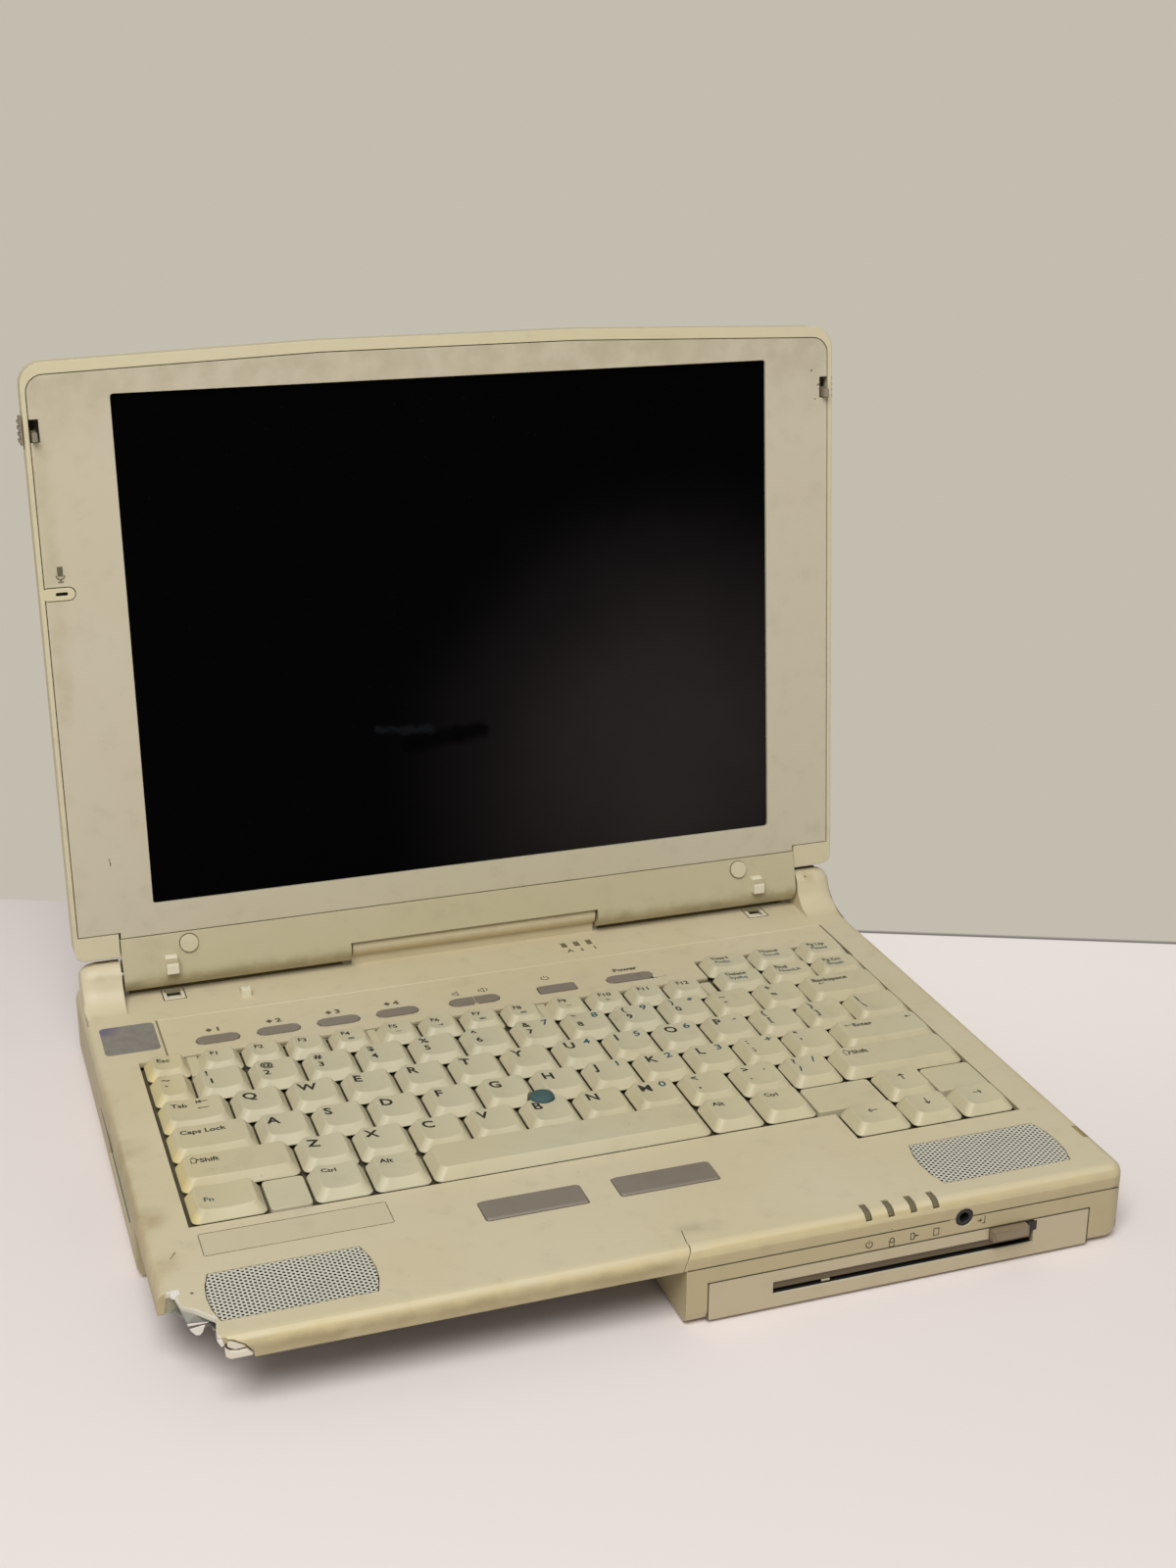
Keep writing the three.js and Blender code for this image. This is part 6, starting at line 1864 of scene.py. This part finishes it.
@dataclass
class RearAndUnderside:
    """Contacts in the rear sockets, and the screws that hold the base together."""

    back: float = 121.0
    monitor: Box2 = (-99.5, -68.5, 7.5, 18.5)
    printer: Box2 = (-44.5, 8.5, 7.5, 18.5)
    serial: Box2 = (30.5, 61.5, 7.5, 18.5)
    mouse: Flat = (84.0, 13.0)
    mouse_pins: int = 6
    mouse_ring: float = 2.4
    pin_reach: float = 0.4
    underside: float = 1.2
    screws: Outline = ((-141.0, 108.0), (141.0, 108.0), (141.0, 5.0), (141.0, -104.0), (18.0, -60.0))

    def build(self) -> None:
        """Makes the pieces."""
        blocks = Workpiece("socket_blocks")
        contacts = Workpiece("socket_contacts")
        for box, rows in ((self.monitor, (5, 5, 5)), (self.printer, (13, 12)), (self.serial, (5, 4))):
            self.socket(blocks, contacts, box, rows)
        x, z = self.mouse
        for step in range(self.mouse_pins):
            turn = math.tau * (step + 0.5) / self.mouse_pins
            pin = (x + self.mouse_ring * math.sin(turn), z + self.mouse_ring * math.cos(turn))
            self.pin(contacts, pin, 0.45)
        blocks.finish(DARK, "dark_plastic")
        contacts.finish(STEEL, "steel")
        heads = Workpiece("underside_screws")
        for x, y in self.screws:
            heads.disc((x, y, self.underside - 0.25), 2.3, 0.6, 20, (0, 0, -1), 0.2)
        heads.finish(STEEL, "steel")

    def pin(self, contacts: Workpiece, at: Flat, radius: float) -> None:
        """Adds one contact at an x and z of the rear wall."""
        contacts.disc((at[0], self.back + self.pin_reach, at[1]), radius, self.pin_reach, 8, (0, 1, 0))

    def socket(self, blocks: Workpiece, contacts: Workpiece, box: Box2, rows: Sequence[int]) -> None:
        """Adds a socket's dark block and its rows of contacts.

        Args:
            blocks: The piece that takes the block.
            contacts: The piece that takes the contacts.
            box: The socket's x0, x1, z0 and z1.
            rows: How many contacts each row has, from the top.
        """
        x0, x1, z0, z1 = box
        middle = (x0 + x1) / 2
        half = (x1 - x0) / 2 - 3.4
        height = (z0 + z1) / 2
        top, bottom = height + 2.6, height - 2.6
        left, right = middle - half, middle + half
        outline = ((left, top), (right, top), (right - 1.2, bottom), (left + 1.2, bottom))
        blocks.plate(upright(outline, self.back - 0.6), (0.0, 0.8, 0.0), 0.2)
        pitch = 2 * (half - 1.6) / (max(rows) - 1)
        for index, count in enumerate(rows):
            z = height + 3.2 * (0.5 - (index + 0.5) / len(rows))
            for number in range(count):
                self.pin(contacts, (middle + (number - (count - 1) / 2) * pitch, z), 0.5)


@dataclass
class PanelTrim:
    """The switch panel's back edge with a pale strip of painted highlight, its volume divider, end grooves of
    painted shade with dust, and the power slider's trim.
    """

    left: float = -128.0
    right: float = 138.3
    front: float = 50.5
    back: float = 79.95
    edge_half: float = 0.25
    groove: float = 0.7
    divider: Box2 = (-14.0, -12.4, 55.6, 61.6)
    slider: Box2 = (39.15, 57.85, 55.8, 61.4)
    grip_z: Flat = (27.9, 28.25)
    ridges: int = 3
    ridge: float = 0.3
    ridge_pitch: float = 0.7

    def build(self) -> None:
        """Makes the pieces."""
        # Pale strip along the panel's back edge: painted highlight.
        edge = (self.left, self.right, self.back - self.edge_half, self.back + self.edge_half)
        Workpiece("panel_edge").block(edge, PANEL - 0.3, PANEL + 0.1, rim=0.08).finish(PANEL_EDGE_HIGHLIGHT, "shell")
        divider = Workpiece("volume_divider")
        divider.block(self.divider, PANEL - 0.3, PANEL + 0.3, rim=0.15).finish(CREAM_BASE, "shell")
        # Dark lines along both ends of the panel: painted shade in the grooves, with dust.
        grooves = Strokes("panel_grooves")
        for x in (self.right, self.left):
            grooves.line([(x, self.front, PANEL), (x, self.back, PANEL)], self.groove)
        grooves.finish(GROOVE_DUST_AND_SHADE, "shell")
        _, x1, y0, y1 = self.slider
        skirt = Workpiece("slider_skirt")
        skirt.block((x1 - 0.6, x1 + 4.4, y0 - 0.1, y1 + 0.1), PANEL + 0.03, PANEL + 0.15, rim=0.05)
        skirt.finish(CREAM_BASE, "shell", "power_switch")
        grip = Workpiece("slider_grip")
        for i in range(self.ridges):
            x = x1 - 6.6 + i * self.ridge_pitch
            grip.block((x, x + self.ridge, y0 + 1.3, y1 - 1.3), *self.grip_z, rim=0.1)
        grip.finish(BUTTON, "button", "power_switch")


@dataclass
class LidPrinting:
    """The microphone sign on the screen surround."""

    at: Point = (-145.4, BEZEL_Y, 152.0)
    capsule: Flat = (0.2, 2.4)
    capsule_width: float = 1.9
    pen: float = 0.34

    def build(self) -> None:
        """Prints the sign."""
        signs = Strokes("microphone_sign", LID)
        x, y, z = self.at
        signs.line([(x, y, z + end) for end in self.capsule], self.capsule_width, FORWARD)
        signs.sign(self.at, Sign.MICROPHONE, self.pen, FORWARD)
        signs.finish(PRINT, "legend", "lid")


@dataclass(frozen=True)
class Casing:
    """A moulding whose solid is right: a copy with smooth rounds takes its place and gets its finish."""

    node: str
    finish: Finish
    lost: Sequence[tuple[Sequence[Point], Point]] = ()

    # What counts as one corner, in metres, as one flat face and as a smooth edge, in degrees.
    WELD = 2e-6
    FLATNESS = 0.4
    SMOOTH = 31.0

    def build(self) -> None:
        """Copies the solid, welds its triangles, breaks off what is lost and shades its rounds."""
        solid = frame["nodes"][self.node]
        part = bmesh.new()
        part.from_mesh(solid.data)
        bmesh.ops.remove_doubles(part, verts=part.verts, dist=self.WELD)
        for outline, through in self.lost:
            gap = Workpiece("gap").plate(outline, through).mesh
            bmesh.ops.transform(gap, matrix=BASE.placed, verts=gap.verts)
            part = carved(part, gap)
        flatness = math.radians(self.FLATNESS)
        bmesh.ops.dissolve_limit(part, angle_limit=flatness, verts=part.verts, edges=part.edges)
        piece = shaded(part, self.node + "_dressed", self.finish, self.SMOOTH)
        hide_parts(self.node)
        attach(piece, solid["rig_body"])
        log.info("%s dressed", self.node)


def dress_solid(node: str, finish: Finish) -> None:
    """Gives a solid that stays as it is its finish.

    Args:
        node: The solid's name.
        finish: What it is made of.
    """
    for slot in frame["nodes"][node].material_slots:
        slot.material = dressed(finish)
    log.info("%s dressed", node)


LIP_LOSS = (
    (-141.0, 28.2), (-138.4, 27.9), (-137.0, 26.5), (-135.1, 26.2), (-133.2, 25.3), (-132.1, 24.7),
    (-130.6, 23.0), (-129.9, 22.0), (-129.8, 19.0), (-141.0, 19.0),
)
FLAP_LOSS = ((-147.0, 24.4), (-139.0, 24.4), (-139.0, 17.0), (-147.0, 17.0))

CASINGS = (
    Casing("top_cover", CREAM_BASE, [(upright(LIP_LOSS, -123.0), (0.0, 3.6, 0.0))]),
    Casing("bay_liner", COAT, [(upright(FLAP_LOSS, -107.5), (0.0, 4.6, 0.0))]),
    *(Casing(n, CREAM_BASE) for n in ("bottom_case", "switch_panel", "memory_cover")),
    Casing("floppy_bezel", DRIVE_FACE),
    *(Casing(n, CREAM_LID) for n in ("lid_back_cover", "screw_cover_left", "screw_cover_right")),
    Casing("lid_hinge_cover", LID_STRIP_SHADED),
    Casing("screen_bezel", BEZEL),
    *(Casing(f"quick_button_{i}", BUTTON) for i in range(1, 5)),
    *(Casing(n, BUTTON) for n in (
        "volume_down", "volume_up", "suspend_button", "power_switch",
        "click_button_left", "click_button_right",
    )),
    Casing("floppy_eject_button", EJECT),
    Casing("latch_left", TAUPE_FLAP),
    Casing("latch_right", TAUPE_FLAP),
    Casing("headphone_jack", DARK),
)

SOLIDS = {
    "lcd_panel": SCREEN, "status_light_pipe": LENS, "lock_light_pipe": LENS, "microphone": DARK,
    "speaker_left": DARK, "speaker_right": DARK, "battery_contacts": DARK, "main_board": BOARD,
    "hard_drive": STEEL, "floppy_drive": STEEL, "pc_card_cage": STEEL,
    "power_inlet": DARK, "mouse_port": DARK, "monitor_port": STEEL,
    "printer_port": STEEL, "serial_port": STEEL,
    "base_hinge_bracket_left": STEEL, "base_hinge_bracket_right": STEEL,
    "lid_hinge_bracket_left": STEEL, "lid_hinge_bracket_right": STEEL,
    "foot_rear_left": RUBBER, "foot_rear_right": RUBBER,
    "foot_front_right": RUBBER, "foot_front_middle": RUBBER,
}


@dataclass
class Studio:
    """Camera, floor, the pale wall behind it and one soft lamp."""

    eye: Point = (-0.2043, -0.6215, 0.3749)
    down: float = 20.48
    yaw: float = 19.30
    roll: float = 0.33
    lens: float = 47.68
    sensor: float = 36.0
    floor_half: float = 80.0
    floor_reach: float = 620.0
    floor_colour: str = "e8ddd7"
    far_floor_colour: str = "fff5ed"
    bright_depth: Flat = (-100.0, 200.0)
    bright_x: Flat = (0.0, 160.0)
    wall_colour: str = "c3bdb0"
    wall_foot: float = 179.0
    away: Flat = (0.4, 0.917)
    crease_colour: str = "5d564d"
    crease_x: Flat = (80.0, 160.0)
    sky_colour: str = "f1f2f3"
    sky_strength: float = 0.34
    lamp_at: Point = (-0.5, -0.97, 1.56)
    lamp_aim: Point = (0.0, 0.0, 0.05)
    lamp_size: float = 1.0
    lamp_power: float = 30.5
    lamp_colour: str = "fbfdff"

    def build(self) -> None:
        """Sets the scene round the laptop."""
        self.add_camera()
        self.add_floor()
        self.add_world()
        self.add_lamp()
        bpy.context.scene.view_settings.view_transform = "Standard"

    def add_camera(self) -> None:
        """Puts the camera where the photograph was taken from."""
        data = bpy.data.cameras.new("camera")
        data.sensor_width = self.sensor
        data.lens = self.lens
        data.clip_start = 0.01
        camera = linked("camera", data)
        turns = ((-self.yaw, "Z"), (90 - self.down, "X"), (self.roll, "Z"))
        yaw, pitch, roll = (Matrix.Rotation(math.radians(turn), 4, axis) for turn, axis in turns)
        camera.matrix_world = Matrix.Translation(self.eye) @ (yaw @ pitch) @ roll
        bpy.context.scene.camera = camera

    def add_floor(self) -> None:
        """Adds a wide pale floor, brightened far right with painted light and darkened by painted shade in
        the crease at the wall's foot, that takes the wall's colour beyond the wall's foot.
        """
        data = written(square(self.floor_half), "floor")
        floor = linked("floor", data)
        graph = Graph("pale_floor")
        place = graph.place()
        x = graph.axis(place, 0)
        depth = self.away[0] * x + self.away[1] * graph.axis(place, 1)
        middle = Vector((0.0, 0.0, 0.0))
        far = graph.reach(place, middle, middle).ramp(self.floor_reach, 1.6 * self.floor_reach)
        back = depth.ramp(self.wall_foot - 1.5, self.wall_foot + 1.5).most(far)
        rays = graph.node("LightPath").outputs
        kinds = ("Is Camera Ray", "Is Glossy Ray", "Is Transmission Ray")
        seen = reduce(Value.most, [Value(graph, rays[kind]) for kind in kinds])
        backdrop = graph.node("Emission", {"Color": linear(self.wall_colour), "Strength": 1.0})
        # Painted shade in the crease where the floor meets the wall, on the right.
        crease_shade = depth.ramp(self.wall_foot - 3.0, self.wall_foot - 2.0) * x.ramp(*self.crease_x) * 0.85
        # Painted light: the floor's colour turns brighter far back and to the right.
        painted_light = depth.ramp(*self.bright_depth) * x.ramp(*self.bright_x)
        tone = graph.mix(painted_light, self.floor_colour, self.far_floor_colour)
        tone = graph.mix(crease_shade, tone, self.crease_colour)
        lit = graph.node("BsdfPrincipled", {"Base Color": tone, "Roughness": 0.7})
        last = graph.node("MixShader", {0: back * seen, 1: lit.outputs[0], 2: backdrop.outputs[0]})
        data.materials.append(graph.end(last))

    def add_world(self) -> None:
        """Adds soft light from all round; the camera sees the pale wall instead."""
        world = bpy.data.worlds.new("studio")
        bpy.context.scene.world = world
        world.use_nodes = True
        tree = world.node_tree
        soft = tree.nodes["Background"]
        soft.inputs["Color"].default_value = linear(self.sky_colour)
        soft.inputs["Strength"].default_value = self.sky_strength
        wall = tree.nodes.new("ShaderNodeBackground")
        wall.inputs["Color"].default_value = linear(self.wall_colour)
        seen = tree.nodes.new("ShaderNodeLightPath").outputs["Is Camera Ray"]
        either = tree.nodes.new("ShaderNodeMixShader")
        for number, socket in enumerate((seen, soft.outputs[0], wall.outputs[0])):
            tree.links.new(socket, either.inputs[number])
        tree.links.new(either.outputs[0], tree.nodes["World Output"].inputs[0])

    def add_lamp(self) -> None:
        """Adds the square soft lamp."""
        data = bpy.data.lights.new("window", "AREA")
        data.size = self.lamp_size
        data.energy = self.lamp_power
        data.color = linear(self.lamp_colour)[:3]
        lamp = linked("window", data)
        lamp.location = self.lamp_at
        along = Vector(self.lamp_aim) - Vector(self.lamp_at)
        lamp.rotation_euler = along.to_track_quat("-Z", "Y").to_euler()


def main() -> None:
    """Builds every sub-assembly in order."""
    logging.basicConfig(level=logging.INFO, format="%(message)s")
    Studio().build()
    for casing in CASINGS:
        casing.build()
    for node, finish in SOLIDS.items():
        dress_solid(node, finish)
    for assembly in (
        Keyboard(), SpeakerGrille(-1), SpeakerGrille(1), DeckPrinting(), StuckOn(), DisketteMouth(),
        LidPrinting(), BrokenCorner(), HingeTrim(), PanelTrim(), RearAndUnderside(),
    ):
        assembly.build()


if __name__ == "__main__":
    main()
